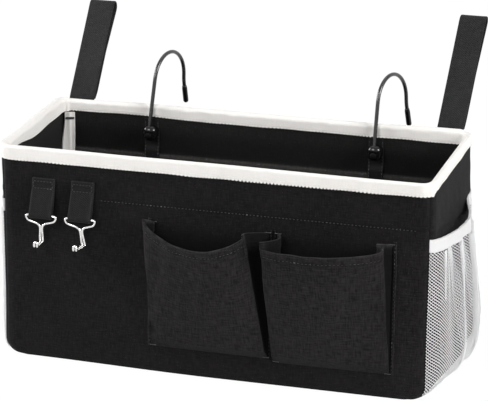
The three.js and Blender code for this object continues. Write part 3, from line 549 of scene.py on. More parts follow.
# Rounded rectangle in plan: its centre runs along the straights, and its radius swings round the corners.
def planPoints(centreX, centreY, swing, inset, height):
    radius = body["planRadius"] - inset
    x = centreX * (halfWidth - inset - footDrop(inset, height) - radius) + radius * np.cos(swing)
    y = centreY * (halfDepth - inset - radius) + radius * np.sin(swing)
    return placed(x, y, height)


# Columns of a wall from one corner seam to the next: half a corner, the straight and half a corner.
def wallColumns(straight, corner):
    run = np.concatenate([-np.ones(corner), np.linspace(-1, 1, straight), np.ones(corner)])
    quarter = np.linspace(-np.pi / 4, 0, corner + 1)
    swing = np.concatenate([quarter[:-1], np.zeros(straight), -quarter[-2::-1]])
    return run, swing


# Front, back and wrap-round gusset of one layer, whose face is given by insets and heights from the foot up.
def wallGrids(inset, height):
    inset, height = inset[:, None], height[:, None]
    run, swing = wallColumns(171, 9)
    front = planPoints(run, -1.0, swing - np.pi / 2, inset, height)
    back = planPoints(-run, 1.0, swing + np.pi / 2, inset, height)
    run, swing = wallColumns(67, 9)
    right = planPoints(1.0, run, swing, inset, height)
    left = right[::-1] * (-1, 1, 1)
    share = np.linspace(0, 1, 152)[1:-1, None, None]
    under = left[-1:] + (right[:1] - left[-1:]) * share
    return front, back, np.concatenate([left, under, right])


def clothPlaces(points):
    middle = points.shape[0] // 2
    across = wayAlong(points[middle:middle + 1], 1)
    up = wayAlong(points[:, points.shape[1] // 2:points.shape[1] // 2 + 1], 0)
    return placed(across, up)


# Canvas outside: broad unevenness, a puckered sewn row, pinched corner seams and a slanting side crease.
canvas = {
    "uneven": 0.22, "unevenSize": 95.0, "pucker": 0.12, "puckerSize": 16.0, "rowStart": -90.0, "rowEnd": 159.0,
    "rowHeight": 134.0, "seamPinch": 0.35, "creaseHeight": 121.6, "creaseSlope": -0.169,
    "mouths": ((-46, 45), (50, 141)), "paintedSheenAt": 154,
}


# Way to the nearer corner seam, and height above the slanting crease of the sides.
def fromSeam(points):
    way = wayAlong(points, 1)
    return np.minimum(way, way[:, -1:] - way)


def fromCrease(points):
    return points[..., 2] - canvas["creaseHeight"] - canvas["creaseSlope"] * points[..., 1]


def canvasSwell(points, onFront, onSide):
    x, z = points[..., 0], points[..., 2]
    out = canvas["uneven"] * softNoise(points, 11, canvas["unevenSize"])
    out = out + canvas["pucker"] * softNoise(points, 12, canvas["puckerSize"])
    if onFront:
        away = z - canvas["rowHeight"]
        sewn = step(x, canvas["rowStart"], canvas["rowStart"] + 8)
        out = out + sewn * (0.22 * bell(away - 2.6, 1.8) + 0.14 * bell(away + 2.4, 1.6) - 0.4 * bell(away, 0.9))
        out = out + sewn * 0.16 * np.cos(x * tau / 6.4 + 1.3 * np.sin(x / 17)) * bell(away, 4.5)
    if onSide:
        away = fromCrease(points)
        out = out + 0.5 * bell(away - 3, 3.0) - 0.55 * bell(away, 1.2) + 0.2 * bell(away + 4, 4.0)
    fade = (1 - step(z, 150, 160)) * step(z, 2, 9)
    return np.clip(out, -0.3, 0.8) * fade


# Painted shade behind the pocket mouths, along the sewn row, in the corner seams and in the side crease, with
# painted highlights beside the seams and above the crease; a painted sheen near the right corner.
def canvasShade(points, onFront, onSide):
    x, z, edge = points[..., 0], points[..., 2], fromSeam(points)
    shade = 1 - 0.45 * bell(edge, 0.8) + 0.25 * bell(edge - 2.2, 1.3)
    if onFront:
        for low, high in canvas["mouths"]:
            inside = step(x, low - 3, low + 5) * (1 - step(x, high - 5, high + 3))
            shade = shade - 0.72 * inside * (1 - step(z, 106, 125)) * step(z, 20, 28)
        shade = shade + 0.5 * bell(x - canvas["paintedSheenAt"], 12) * (1 - step(z, 105, 135))
        shade = shade - 0.25 * bell(z - canvas["rowHeight"], 1.2) * step(x, canvas["rowStart"], -80)
    if onSide:
        away = fromCrease(points)
        shade = shade - 0.7 * bell(away, 1.0) + 0.3 * bell(away - 2.6, 1.8)
    return np.maximum(shade, 0.15)


swing = np.linspace(0, np.pi / 2, 7)
roundFoot = body["footRound"] * (1 - np.sin(swing)), body["footRound"] * (1 - np.cos(swing))
rise = np.concatenate([np.linspace(2.4, 16, 12), np.linspace(18, body["wallTop"], 70)])
wallInset = np.concatenate([[3.2], roundFoot[0], np.zeros(len(rise))])
wallHeight = np.concatenate([[0.0], roundFoot[1], rise])
front, back, _ = wallGrids(wallInset, wallHeight)
footSwing = np.linspace(0, np.pi / 2, 18)
gussetFoot = body["footRadius"] * (1 - np.cos(footSwing))
gussetRise = np.concatenate([gussetFoot, rise[rise > body["footRadius"] + 0.6]])
_, _, gusset = wallGrids(np.zeros(len(gussetRise)), gussetRise)


def seamPinch(points):
    edge = fromSeam(points)
    return canvas["seamPinch"] * (0.8 * bell(edge - 2.6, 1.4) - bell(edge, 1.0)) * step(points[..., 2], 4, 20)


panels = {
    "front_canvas": (front, "front_panel", True, False, (0.338, 0.175)),
    "back_canvas": (back, "back_panel", False, False, (0.338, 0.175)),
    "gusset_canvas": (gusset, "gusset", False, True, (0.133, 0.67)),
}
for name, (points, node, onFront, onSide, cut) in panels.items():
    facing = gridNormals(points)
    wall = np.linalg.norm(facing[..., :2], axis=-1)
    swell = (canvasSwell(points, onFront, onSide) + seamPinch(points)) * wall
    shape = points + facing * swell[..., None]
    patch = shellPatch(shape, body["canvas"], clothPlaces(points), canvasShade(points, onFront, onSide))
    piece = dress(name, [patch], "canvas", "caddy", "canvas", node, ease=fillFoot if onSide else easeOut)
print("canvas body made")

# Lining inside, stepping in over the top edge of the boards, with the same slow unevenness.
lining = {"uneven": 0.16, "unevenSize": 60.0, "paler": 3.0, "paleDrop": 2.8}
far, near = body["liningFar"], body["liningNear"]
boardTop, ledge = body["boardTop"], body["boardTop"] + body["ledgeRise"]
footSwing = np.linspace(0, np.pi / 2, 12)
liningRise = np.concatenate([
    far + (body["footRadius"] - far) * (1 - np.cos(footSwing)), np.linspace(18, boardTop - 1, 46),
    np.linspace(boardTop, ledge, 8), np.linspace(ledge + 1, body["wallTop"], 16)])
liningInset = far + (near - far) * step(liningRise, boardTop, ledge)
linings = dict(zip(("front_lining", "back_lining", "gusset_lining"), wallGrids(liningInset, liningRise)))
for node, points in linings.items():
    points = points[:, ::-1]
    uneven = lining["uneven"] * np.clip(softNoise(points, 21, lining["unevenSize"]), -1, 1.2)
    shape = points + gridNormals(points) * uneven[..., None]
    # Painted shade and light on the lining: darkest just above the ledge and lighter towards the rim, painted
    # light below the ledge and a painted highlight just under its edge
    below = ledge - lining["paleDrop"] - points[..., 2]
    shade = 0.5 + 0.8 * step(points[..., 2], 143, 160)
    shade = shade + lining["paler"] * step(below, -0.8, 0.8) + 1.2 * bell(below - 0.5, 0.9)
    patch = shellPatch(shape, body["lining"], clothPlaces(points), shade)
    piece = dress(node + "_cloth", [patch], "lining", "caddy", "lining", node)
    cut = (0.133, 0.66) if node == "gusset_lining" else (0.334, 0.17)
print("lining made")

# Boards and rim stay keep their solid shapes
for node in ("front_board", "back_board", "left_board", "right_board", "base_board"):
    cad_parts[node].material_slots[0].material = finishes["board"]
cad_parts["rim_stay"].material_slots[0].material = finishes["stay"]

# Rim binding: tape folded over the rim, carried round the plan; its sewn edges pucker and its corners crowd.
binding = {
    "out": -1.2, "inner": 4.6, "thickness": 0.9, "bottom": 161.0, "fold": 2.0, "foldWide": 3.6, "foldDeep": 3.0,
    "columns": 0.5, "crown": 0.18, "tooth": 0.55, "toothFront": 0.75, "toothPitch": 2.75, "wave": 0.16,
    "waveSize": 30.0, "row": 163.1, "rowLift": 0.85, "crowd": 0.45, "frontSag": 0.8, "rightLift": 3.8,
    "leftLift": 4.2,
}


# Columns round the rim from the middle of the back left corner: shares of width and depth, and turn.
def ringColumns(pitch):
    reach = halfWidth - body["planRadius"], halfDepth - body["planRadius"], body["planRadius"]
    stops = np.array([
        (-1, 1, 0.75), (-1, 1, 1), (-1, -1, 1), (-1, -1, 1.5), (1, -1, 1.5), (1, -1, 2),
        (1, 1, 2), (1, 1, 2.5), (-1, 1, 2.5), (-1, 1, 2.75)]) * (1, 1, np.pi)
    parts = []
    for start, run in zip(stops, np.diff(stops, axis=0)):
        count = int(np.ceil((np.abs(run) * reach).sum() / pitch))
        parts.append(start + run * (np.arange(count) / count)[:, None])
    return np.concatenate([*parts, stops[-1:]]).T


ringX, ringY, ringTurn = ringColumns(binding["columns"])
top, bottom = body["height"], binding["bottom"]
outFace, inFace, leaf = binding["out"], binding["inner"], binding["thickness"]
fold, foldWide, foldDeep = binding["fold"], binding["foldWide"], binding["foldDeep"]
quarter = np.linspace(0, np.pi / 2, 6)
profile = np.concatenate([
    placed(outFace, np.linspace(bottom, top - fold, 9, endpoint=False)),
    placed(outFace + fold * (1 - np.cos(quarter)), top - fold + fold * np.sin(quarter)),
    placed(inFace - foldWide * (1 - np.sin(quarter)), top - foldDeep + foldDeep * np.cos(quarter)),
    placed(inFace, np.linspace(top - foldDeep, bottom, 10)[1:]),
    [[inFace - leaf * 0.4, bottom - 0.25], [inFace - leaf, bottom], [inFace - leaf, top - 2.0]],
    [[outFace + leaf, top - 1.4], [outFace + leaf, bottom]],
    [[outFace + leaf * 0.4, bottom - 0.25], [outFace, bottom]]])
profileWay = wayAlong(profile[:, None], 0)
inset, height = profile[:, :1], profile[:, 1:]
ring = planPoints(ringX, ringY, ringTurn, np.zeros((1, 1)), np.full((1, 1), top))
ringWay, ringAt, ringDepth = wayAlong(ring, 1), ring[..., 0], ring[..., 1]
onFront, onBack = step(-np.sin(ringTurn), 0.1, 1.0), step(np.sin(ringTurn), 0.9, 1.0)
onLeft, onRight = step(-np.cos(ringTurn), 0.2, 0.9), step(np.cos(ringTurn), 0.8, 1.0)
onLeaf = 1 - step(height, bottom, bottom + 9)
onEdge = 1 - step(height, bottom + 0.8, bottom + 4)
middle = (outFace + inFace) / 2
outside = inset < middle
wave = softNoise(ring, 31, binding["waveSize"])
# Toothed edge where the stitches draw the tape: sharp notches between small hanging scallops
scallop = np.abs(np.sin(np.pi * (ringWay / binding["toothPitch"] + 0.25 * wave))) - 0.6
tooth = binding["tooth"] * (1 + 0.35 * softNoise(ring, 34, 21.0))
tooth = tooth + binding["toothFront"] * onFront * step(ringAt, -30, 30) * (1 - step(ringAt, 125, 150))
# Edges that stand higher: the outer one on the right, the inner one at the back and on the left
rightRise = binding["rightLift"] * onRight
innerRise = onBack * (0.8 + 1.5 * bell(ringAt + 112, 26))
innerRise = innerRise + onLeft * (binding["leftLift"] * (1 - step(ringDepth, -60, 0)) - bell(ringDepth, 30))
edgeRise = np.where(outside, rightRise, innerRise)
height = height + onLeaf * (binding["wave"] * wave + edgeRise) - onEdge * tooth * scallop
# Puckers beside the sewn row, and folds where the corners crowd
above = height - binding["row"]
puff = 0.18 * scallop * bell(above + 1.6, 1.4) - 0.14 * bell(above, 0.8) + 0.12 * softNoise(ring, 32, 12.0)
crowding = binding["crowd"] * np.sin(2 * ringTurn) ** 2 * np.cos(ringTurn * 9)
crowding = crowding * (1 - step(height, bottom + 4, top - 1))
skin = np.abs(inset - middle) > (inFace - outFace) / 2 - 0.1
shift = np.where(skin, np.clip(puff + crowding, -0.25, 0.6), 0.0)
points = planPoints(ringX, ringY, ringTurn, inset - np.where(outside, shift, -shift), height)
# Crown: slow waves, a sag along the front and two slopes at the back
crown = step(height, bottom + 4, top)
sag = binding["frontSag"] * onFront * step(ringAt, -130, -50)
points[..., 2] += crown * (binding["crown"] * softNoise(ring, 33, 120.0) - sag)
points[..., 2] += crown * onBack * (step(ringAt, 90, 150) - 1.2 * step(-ringAt, 100, 150))
points[..., 0] -= outside * slack["left"] * step(-points[..., 0], *slack["ends"])
patch = gridPatch(points, placed(ringWay, profileWay))
piece = dress("rim_binding_tape", [patch], "tape", "caddy", "tape", "rim_binding")

around = placed(np.cos(ringTurn), np.sin(ringTurn), 0.0)
rows = []
for face, rise, way in ((outFace - 0.02, rightRise, 1), (inFace + 0.02, innerRise[0], -1)):
    row = planPoints(ringX, ringY, ringTurn, np.full((1, 1), face), np.full((1, 1), binding["row"]))[0]
    row[:, 2] += binding["rowLift"] * rise
    row[:, 0] -= (way > 0) * slack["left"] * step(-row[:, 0], *slack["ends"])
    rows.append(stitchPatch(row, around * way, "binding"))
dress("rim_binding_stitches", rows, "paleThread", "caddy", "tape")
print("rim binding made")

# Tape on the inner corner seams: a strip bent into the corner, with a soft middle fold.
cornerTape = {
    "radius": 5.6, "width": 8.0, "foot": 18.0, "top": 160.6, "thickness": 0.9, "flare": 0.1, "shift": 2.6,
    "spread": 4.0, "dim": 0.35,
}
corners = {
    "front_left": (-1, -1, 1.25), "front_right": (1, -1, 1.75),
    "back_left": (-1, 1, 0.75), "back_right": (1, 1, 0.25),
}
up, share = np.linspace(cornerTape["foot"], cornerTape["top"], 90)[:, None], np.linspace(-1, 1, 15)[None]
for name, (signX, signY, turn) in corners.items():
    hand, inward = signX * signY, np.array([-signX, -signY, 0.0])
    around = share * cornerTape["width"] / 2 * (1 + cornerTape["flare"] * np.sin(up / 23))
    spread = cornerTape["spread"] * step(-hand * share, 0, 1) * (1 - step(up, 128, 157))
    around = around + hand * (cornerTape["shift"] * (name == "back_left") - spread)
    angle = np.clip(around / cornerTape["radius"], -np.pi / 4, np.pi / 4)
    past = around - angle * cornerTape["radius"]
    angle = angle + turn * np.pi
    radius = cornerTape["radius"] - 0.7 * bell(share, 0.35) - 0.25 * np.cos(up / 9 + share)
    points = placed(
        signX * (halfWidth - body["planRadius"]) + radius * np.cos(angle) - past * np.sin(angle),
        signY * (halfDepth - body["planRadius"]) + radius * np.sin(angle) + past * np.cos(angle), up)[:, ::-1]
    # Painted shade on the half of the tape that turns toward the short wall
    dim = (1 - cornerTape["dim"] * step(-hand * share, -0.1, 0.5))[:, ::-1]
    patch = shellPatch(points, cornerTape["thickness"], clothPlaces(points), dim)
    dress(name + "_seam_tape", [patch], "tape", "caddy", "tape", name + "_corner_tape")
    tackLine = points[-4, 1:-1] + inward * 0.3
    tacks = [stitchPatch(tackLine + (0, 0, lift), inward, "cornerTack") for lift in (-0.6, 0.0, 0.6)]
    dress(name + "_seam_tack", tacks, "blackThread", "caddy", "tape")
print("corner tapes made")

# Bellows pockets: folding sides, a sagging front panel with a turned hem, and loose drape in the cloth.
pocketBase = {
    "bottom": 19.3, "top": 121.5, "reach": 25.0, "footReach": 0.26, "footShare": 1 / 12,
    "gusset": 0.2, "hem": 8.0, "hemStand": 0.45, "hemThickness": 0.7, "thickness": 1.0, "drape": 0.6,
    "outerFlange": 3.0, "innerFlange": 2.0,
}
pockets = {
    "left_pocket": {
        "from": -47.7, "to": 46.0, "lean": (-0.16, -0.52), "corner": (0.48, 1.0), "lift": (0.22, 0.2),
        "middle": 1.0, "sag": 0.68, "sagPower": 0.6, "foot": 0.1, "pleat": (3.0, 8.0), "seed": 41},
    "right_pocket": {
        "from": 51.0, "to": 141.4, "lean": (-0.32, -0.14), "corner": (0.96, 0.68), "lift": (0.02, 0.22),
        "middle": 0.96, "sag": 0.4, "sagPower": 0.2, "foot": 0.0, "pleat": (8.0, 8.0), "seed": 42},
}


def softLess(first, second, ease):
    share = np.clip(0.5 + 0.5 * (second - first) / ease, 0, 1)
    return second + (first - second) * share - ease * share * (1 - share)


# Panel runs from 0 to 1 between the folds, and edge from 0 at the wall to 1 at the folds.
def pocketGrid(pocket, u, v):
    part = {**pocketBase, **pocket}
    side = part["gusset"]
    panel = np.clip((u - side) / (1 - 2 * side), 0, 1)
    edge = np.clip(softLess(softLess(u / side, (1 - u) / side, 0.1), 1.0, 0.1), 0, 1)
    arch = np.sin(np.pi * panel)
    opening = part["footReach"] * np.minimum(1, v / part["footShare"]) + (1 - part["footReach"]) * v
    between = lambda pair: pair[0] + (pair[1] - pair[0]) * panel
    reach = between(part["corner"]) + (part["middle"] - sum(part["corner"]) / 2) * arch
    inward = np.where(u < 0.5, part["pleat"][0], -part["pleat"][1]) * np.sin(np.pi * edge) * v * (edge < 1)
    x = between((part["from"], part["to"])) + part["reach"] * between(part["lean"]) * v * edge + inward
    y = -halfDepth - part["reach"] * reach * opening * edge
    sag = part["sag"] * np.maximum(arch, 0) ** part["sagPower"]
    top = part["top"] + part["reach"] * (between(part["lift"]) * edge - sag)
    low = part["bottom"] + part["reach"] * part["foot"]
    z = low + (top - low) * v
    return placed(x, y, z), edge


side, footShare = pocketBase["gusset"], pocketBase["footShare"]
tall = pocketBase["top"] - pocketBase["bottom"]
hemLine = 1 - pocketBase["hem"] / tall
hemRow = hemLine + 0.018
u = np.concatenate([
    np.linspace(0, side, 26)[:-1], np.linspace(side, 1 - side, 121), np.linspace(1 - side, 1, 26)[1:]])[None]
v = np.concatenate([np.linspace(0, footShare, 14)[:-1], np.linspace(footShare, 1, 96)])[:, None]
hem = step(v, hemLine - 0.006, hemLine + 0.004)
sewnLine = bell((v - hemRow) * tall, 0.8)
sewnRow = int(np.argmin(np.abs(v[:, 0] - hemRow)))
pocketRows, lightTacks = [], []
for name, pocket in pockets.items():
    isLeft = name == "left_pocket"
    points, edge = pocketGrid(pocket, u, v)
    facing = gridNormals(points)
    onPanel = step(edge, 0.7, 1.0)
    drape = softNoise(points, pocket["seed"], 46.0) * 0.6
    drape = drape + softNoise(points * (2.2, 1, 0.6), pocket["seed"] + 5, 30.0) * 0.4
    drape = drape * pocketBase["drape"] * step(v, 0.02, 0.25) * (0.45 + 0.55 * onPanel)
    stand = pocketBase["hemStand"] * hem - 0.3 * sewnLine + drape
    shape = points + facing * (stand * np.clip(edge * 4, 0, 1))[..., None]
    # Painted shade on the folding sides, up to their top edge on the sides that face the other pocket; a
    # painted highlight along the top edge and painted shade along the sewn hem row
    foldShade = (1 - step(edge, 0.8, 1.0)) * np.where((u > 0.5) == isLeft, 1.0, 1 - step(v, 0.965, 0.99))
    shade = 1 - 0.8 * foldShade + 0.3 * step(v, 0.975, 0.99) * (1 - 0.7 * foldShade) - 0.3 * sewnLine * onPanel
    thickness = pocketBase["thickness"] + pocketBase["hemThickness"] * hem
    patch = shellPatch(shape, thickness, clothPlaces(points), shade)
    piece = dress(name + "_cloth", [patch], "pocketCanvas", "caddy", "canvas", name, sharp=60, ease=easeOut)
    row, out = shape[sewnRow, 28:-28], facing[sewnRow, 28:-28]
    pocketRows.append(stitchPatch(row + out * 0.05, out, "hem"))

    # Sewn flanges beside the folding sides: narrow strips on the front, with painted shade and a painted
    # highlight along their cut edge
    low, high = pocketBase["bottom"] + pocketBase["reach"] * pocket["foot"], pocketBase["top"] + 2.5
    share, up = np.linspace(0, 1, 7)[None], np.linspace(low, high, 70)[:, None]
    flanges = []
    for at, way in ((pocket["from"], -1), (pocket["to"], 1)):
        outer = isLeft == (way < 0)
        width = pocketBase["outerFlange" if outer else "innerFlange"]
        strip = placed(
            at + way * width * share + 0.12 * np.sin(up / 7),
            -halfDepth - 0.75 - 0.25 * np.sin(np.pi * share), up)[:, ::way]
        # Painted shade, deepest on the inner flanges in the gap between the pockets; on the outer ones a
        # painted highlight along the cut edge
        paler = 0.5 + 1.1 * step(share, 0.6, 0.9) if outer else 0.3 + 0 * share
        flanges.append(shellPatch(strip, 0.7, clothPlaces(strip), paler[:, ::way]))
        row = placed(at + way * width * 0.45, -halfDepth - 1.0, up[:, 0])
        pocketRows.append(stitchPatch(row, toFront, "flange"))
        for height in (low + 1.2, high - 2.0):
            line = placed(at - way * np.linspace(-1.0, 4.0, 12), -halfDepth - 1.15, height)
            lightTacks.append(stitchPatch(line, toFront, "pocketTack"))
    dress(name + "_flanges", flanges, "pocketCanvas", "caddy", "canvas", ease=easeOut)
print("bellows pockets made")

# Sewn rows on the front: the long row under the rim, the pocket hems and the pocket sides
frontX = np.linspace(canvas["rowStart"], canvas["rowEnd"], 260)
frontRow = placed(frontX, -halfDepth + 0.12, canvas["rowHeight"])
rows = [stitchPatch(frontRow, toFront, "front"), *pocketRows]
dress("front_stitches", rows, "blackThread", "caddy", "canvas", ease=easeOut)
dress("pocket_tacks", lightTacks, "tackThread", "caddy", "canvas", ease=easeOut)
print("front stitching made")

# Gathered net pockets: two families of strands laid over a bellied, pleated surface, under an elastic band.
net = {
    "bottom": 4.0, "belly": 18.0, "bellyRise": 30.0, "pleats": 5, "pleatDepth": 1.6, "gather": 1.5, "sink": 0.6,
    "hug": 0.7, "wide": 132.3, "tall": 113.0, "pitch": 2.5, "strands": (0.29, 0.165), "apart": 0.12,
    "flat": 0.7, "samples": 64,
    "bandTop": 127.0, "bandSag": 4.0, "bandHeight": 10.0, "bandReach": 12.0, "bandThickness": 1.6,
    "bowPower": {-1: 1.15, 1: 0.7}, "backPower": (1.6, 2.3), "gap": 0.3,
}


# Way round one side from corner seam to corner seam, with the way the wall faces there.
def sideWay(part, height):
    radius = body["planRadius"]
    corner, flat = radius * np.pi / 4, body["depth"] - 2 * radius
    along = part * (flat + 2 * corner)
    angle = (np.minimum(along - corner, 0) + np.maximum(along - corner - flat, 0)) / radius
    centreY = np.clip(along - corner - flat / 2, -flat / 2, flat / 2)
    centreX = halfWidth - radius - footDrop(0, height)
    return centreX + radius * np.cos(angle), centreY + radius * np.sin(angle), np.cos(angle), np.sin(angle)


def standOff(part, height, reach, sign):
    x, y, faceX, faceY = sideWay(part, height)
    low, high = net["backPower"]
    backPower = low + (high - low) * step(height, 50, 117)
    bow = np.sin(np.pi * np.clip(part, 0, 1)) ** np.where(part < 0.5, net["bowPower"][sign], backPower)
    bulge = np.maximum(bow * (reach + net["sink"]) - net["sink"], net["hug"])
    return placed((x + faceX * bulge) * sign, y + faceY * bulge, height)


def bandTop(part):
    return net["bandTop"] - net["bandSag"] * np.sin(np.pi * part)


def pleatWave(part):
    warped = part + 0.014 * np.sin(3 * tau * part + 0.6)
    return np.cos(tau * net["pleats"] * warped)


# Net surface: bellied low down, drawn in to the band, with pleats that deepen upwards and small gathers.
def netPlace(part, v, sign):
    top = bandTop(part) - net["bandHeight"] - net["gap"]
    height = net["bottom"] + (top - net["bottom"]) * v
    rise = np.clip((height - net["bottom"]) / net["bellyRise"], 0, 1)
    belly = net["belly"] * np.sqrt(rise * (2 - rise)) - (net["belly"] - net["bandReach"]) * v * v
    pleat = (net["pleatDepth"] + net["gather"] * v ** 2) * pleatWave(part) * rise
    small = 0.5 * np.cos(tau * 16 * part + 4 * part) * v ** 3
    return standOff(part, height, belly - pleat - small, sign)


# Thin tubes along rows of places on the net, one for each row.
def yarnPatch(part, v, sign, thick, lift, flat):
    tiny = 1e-3
    centre = netPlace(part, v, sign)
    facing = unit(np.cross(
        netPlace(part + tiny, v, sign) - netPlace(part - tiny, v, sign),
        netPlace(part, v + tiny, sign) - netPlace(part, v - tiny, sign))) * sign
    side = np.cross(unit(np.gradient(centre, axis=1)), facing)
    turn = np.linspace(0, tau, 5)[:, None]
    ring = np.cos(turn) * side[:, :, None] + np.sin(turn) * facing[:, :, None] * flat
    points = (centre + facing * lift)[:, :, None] + thick * ring
    return manyGrids(points, placed(turn[:, 0] * thick, (v * net["tall"])[:, :, None]))


def strandPatch(lean, sign):
    wide, tall = net["wide"], net["tall"]
    starts = np.arange(-tall + 0.6 * net["pitch"], wide, net["pitch"])
    low, high = (-starts, wide - starts) if lean > 0 else (starts + tall - wide, starts + tall)
    low, high = np.clip(low / tall, 0, 1), np.clip(high / tall, 0, 1)
    keep = high - low > 0.01
    starts, low, high = starts[keep, None], low[keep, None], high[keep, None]
    v = low + (high - low) * np.linspace(0, 1, net["samples"])
    across = starts + v * tall if lean > 0 else starts + tall - v * tall
    part = np.clip(across / wide, 0.0, 1.0)
    return yarnPatch(part, v, sign, net["strands"][int(lean > 0)], net["apart"] * lean, net["flat"])


# Creases where the gathered net doubles, as bundles of yarns: place, lean, lowest end and width of each.
creases = np.array([
    [0.10, 0.02, 0.55, 1.5], [0.20, 0.15, -0.25, 3.4], [0.30, 0.00, 0.60, 1.6], [0.40, 0.12, -0.10, 2.6],
    [0.49, 0.03, 0.50, 1.4], [0.62, 0.10, 0.30, 1.8], [0.80, 0.02, 0.05, 3.0]])
creaseYarn = {"count": 9, "samples": 48, "thick": 0.17, "lift": 0.5, "apart": 1.5, "stagger": 0.45, "seed": 51}


def creasePatch(sign):
    count, samples = creaseYarn["count"], creaseYarn["samples"]
    yarns = np.linspace(-1, 1, count)[:, None]
    at, lean, low, width = creases.T[..., None, None]
    stagger = np.random.default_rng(creaseYarn["seed"]).uniform(0, creaseYarn["stagger"], (len(creases), count))
    low = np.clip(low + stagger[..., None], 0.01, 0.9)
    v = low + (1 - low) * np.linspace(0, 1, samples)
    spread = 0.35 + 0.65 * np.sin(np.pi * np.linspace(0.08, 0.92, samples))
    part = at + lean * (1 - v) + yarns * creaseYarn["apart"] * width / net["wide"] * spread
    part = part + 0.0012 * np.sin(40 * v + 9 * yarns)
    part, v = part.reshape(-1, samples), v.reshape(-1, samples)
    return yarnPatch(part, v, sign, creaseYarn["thick"], creaseYarn["lift"], 1.0)


for side, sign in (("left", -1), ("right", 1)):
    patches = [strandPatch(1, sign), strandPatch(-1, sign), creasePatch(sign)]
    piece = dress(side + "_net", patches, "net", "caddy", "net", side + "_mesh_pocket", sharp=180, ease=easeOut)
    part = np.linspace(0.001, 0.996, 320)[None]
    share = np.linspace(0, 1, 22)[:, None]
    height = bandTop(part) - net["bandHeight"] * (1 - share)
    pleat = net["pleatDepth"] * pleatWave(part) * (1 - share)
    rib = 0.1 * np.cos(tau * 46 * part) * np.sin(np.pi * share) + 0.15 * np.cos(tau * 9 * part + 1)
    sewnRows = 0.12 * (bell(share - 0.22, 0.05) + bell(share - 0.8, 0.05))
    height = height + 0.15 * np.cos(tau * 17 * part)
    points = standOff(part, height, net["bandReach"] - 0.5 * pleat + rib - sewnRows, sign)[:, ::sign]
    patch = shellPatch(points, net["bandThickness"], clothPlaces(points))
    dress(side + "_band_elastic", [patch], "elastic", "caddy", "elastic", side + "_mesh_band", ease=easeOut)
    facing = gridNormals(points)
    rows = [stitchPatch(points[at] + facing[at] * 0.05, facing[at], "elastic") for at in (5, 17)]
    dress(side + "_band_stitches", rows, "paleThread", "caddy", "elastic", ease=easeOut)
print("net pockets made")


# Straight and curved stretches of a path in a plane, resampled at an even step and eased at its corners.
def evenPath(points, pitch, ease):
    points = np.asarray(points, float)
    way = wayAlong(points, 0)
    at = np.linspace(0, way[-1], int(way[-1] / pitch) + 1)
    path = np.stack([np.interp(at, way, points[:, axis]) for axis in range(points.shape[1])], -1)
    for _ in range(ease):
        path[1:-1] = 0.25 * path[:-2] + 0.5 * path[1:-1] + 0.25 * path[2:]
    return path


def arc(centre, radius, start, end, count=24):
    angle = np.linspace(start, end, count)
    return placed(centre[0] + radius * np.cos(angle), centre[1] + radius * np.sin(angle))


# Stitches along the four sides of an upright box, two level rows and then two upright ones.
def sewnBox(centre, half, levels, depth, facing, kind):
    lines = [placed(centre + np.linspace(-half, half, 20), depth, height) for height in levels]
    lines += [placed(centre + edge, depth, np.linspace(min(levels), max(levels), 20)) for edge in (-half, half)]
    return [stitchPatch(line, facing, kind) for line in lines]


# Straps: webbing sewn to the back, leaning away above the rim and folded to a loop over the fastener.
strap = {
    "width": 21.2, "thickness": 1.4, "centre": 152.9, "rootFace": 69.5, "hingeFace": 70.7, "axisShift": 0.8,
    "rootFoot": 128.0, "rootStep": 157.0, "stepTop": 160.0, "hinge": 168.3, "length": 89.0, "fold": 4.3,
    "tail": 16.0, "tapeLength": 32.0, "stack": 4.3, "tape": 1.0, "ease": 3.0, "shift": 1.4, "tailEnd": 4.0,
    "sewnHalf": 8.0, "sewnLevels": (131.0, 154.0),
}
tapeEnds = np.array([strap["tail"], strap["tail"] + strap["tapeLength"]])
straps = {"left": {"sign": -1, "lean": 42.0, "drift": -0.023}, "right": {"sign": 1, "lean": 22.0, "drift": 0.1}}


# Places along and through a strap that leans about its hinge, in the depth and height plane.
def strapPlace(along, through, sine, cosine):
    through = through - strap["axisShift"]
    return placed(
        strap["hingeFace"] + strap["axisShift"] + along * sine + through * cosine,
        strap["hinge"] + along * cosine - through * sine)


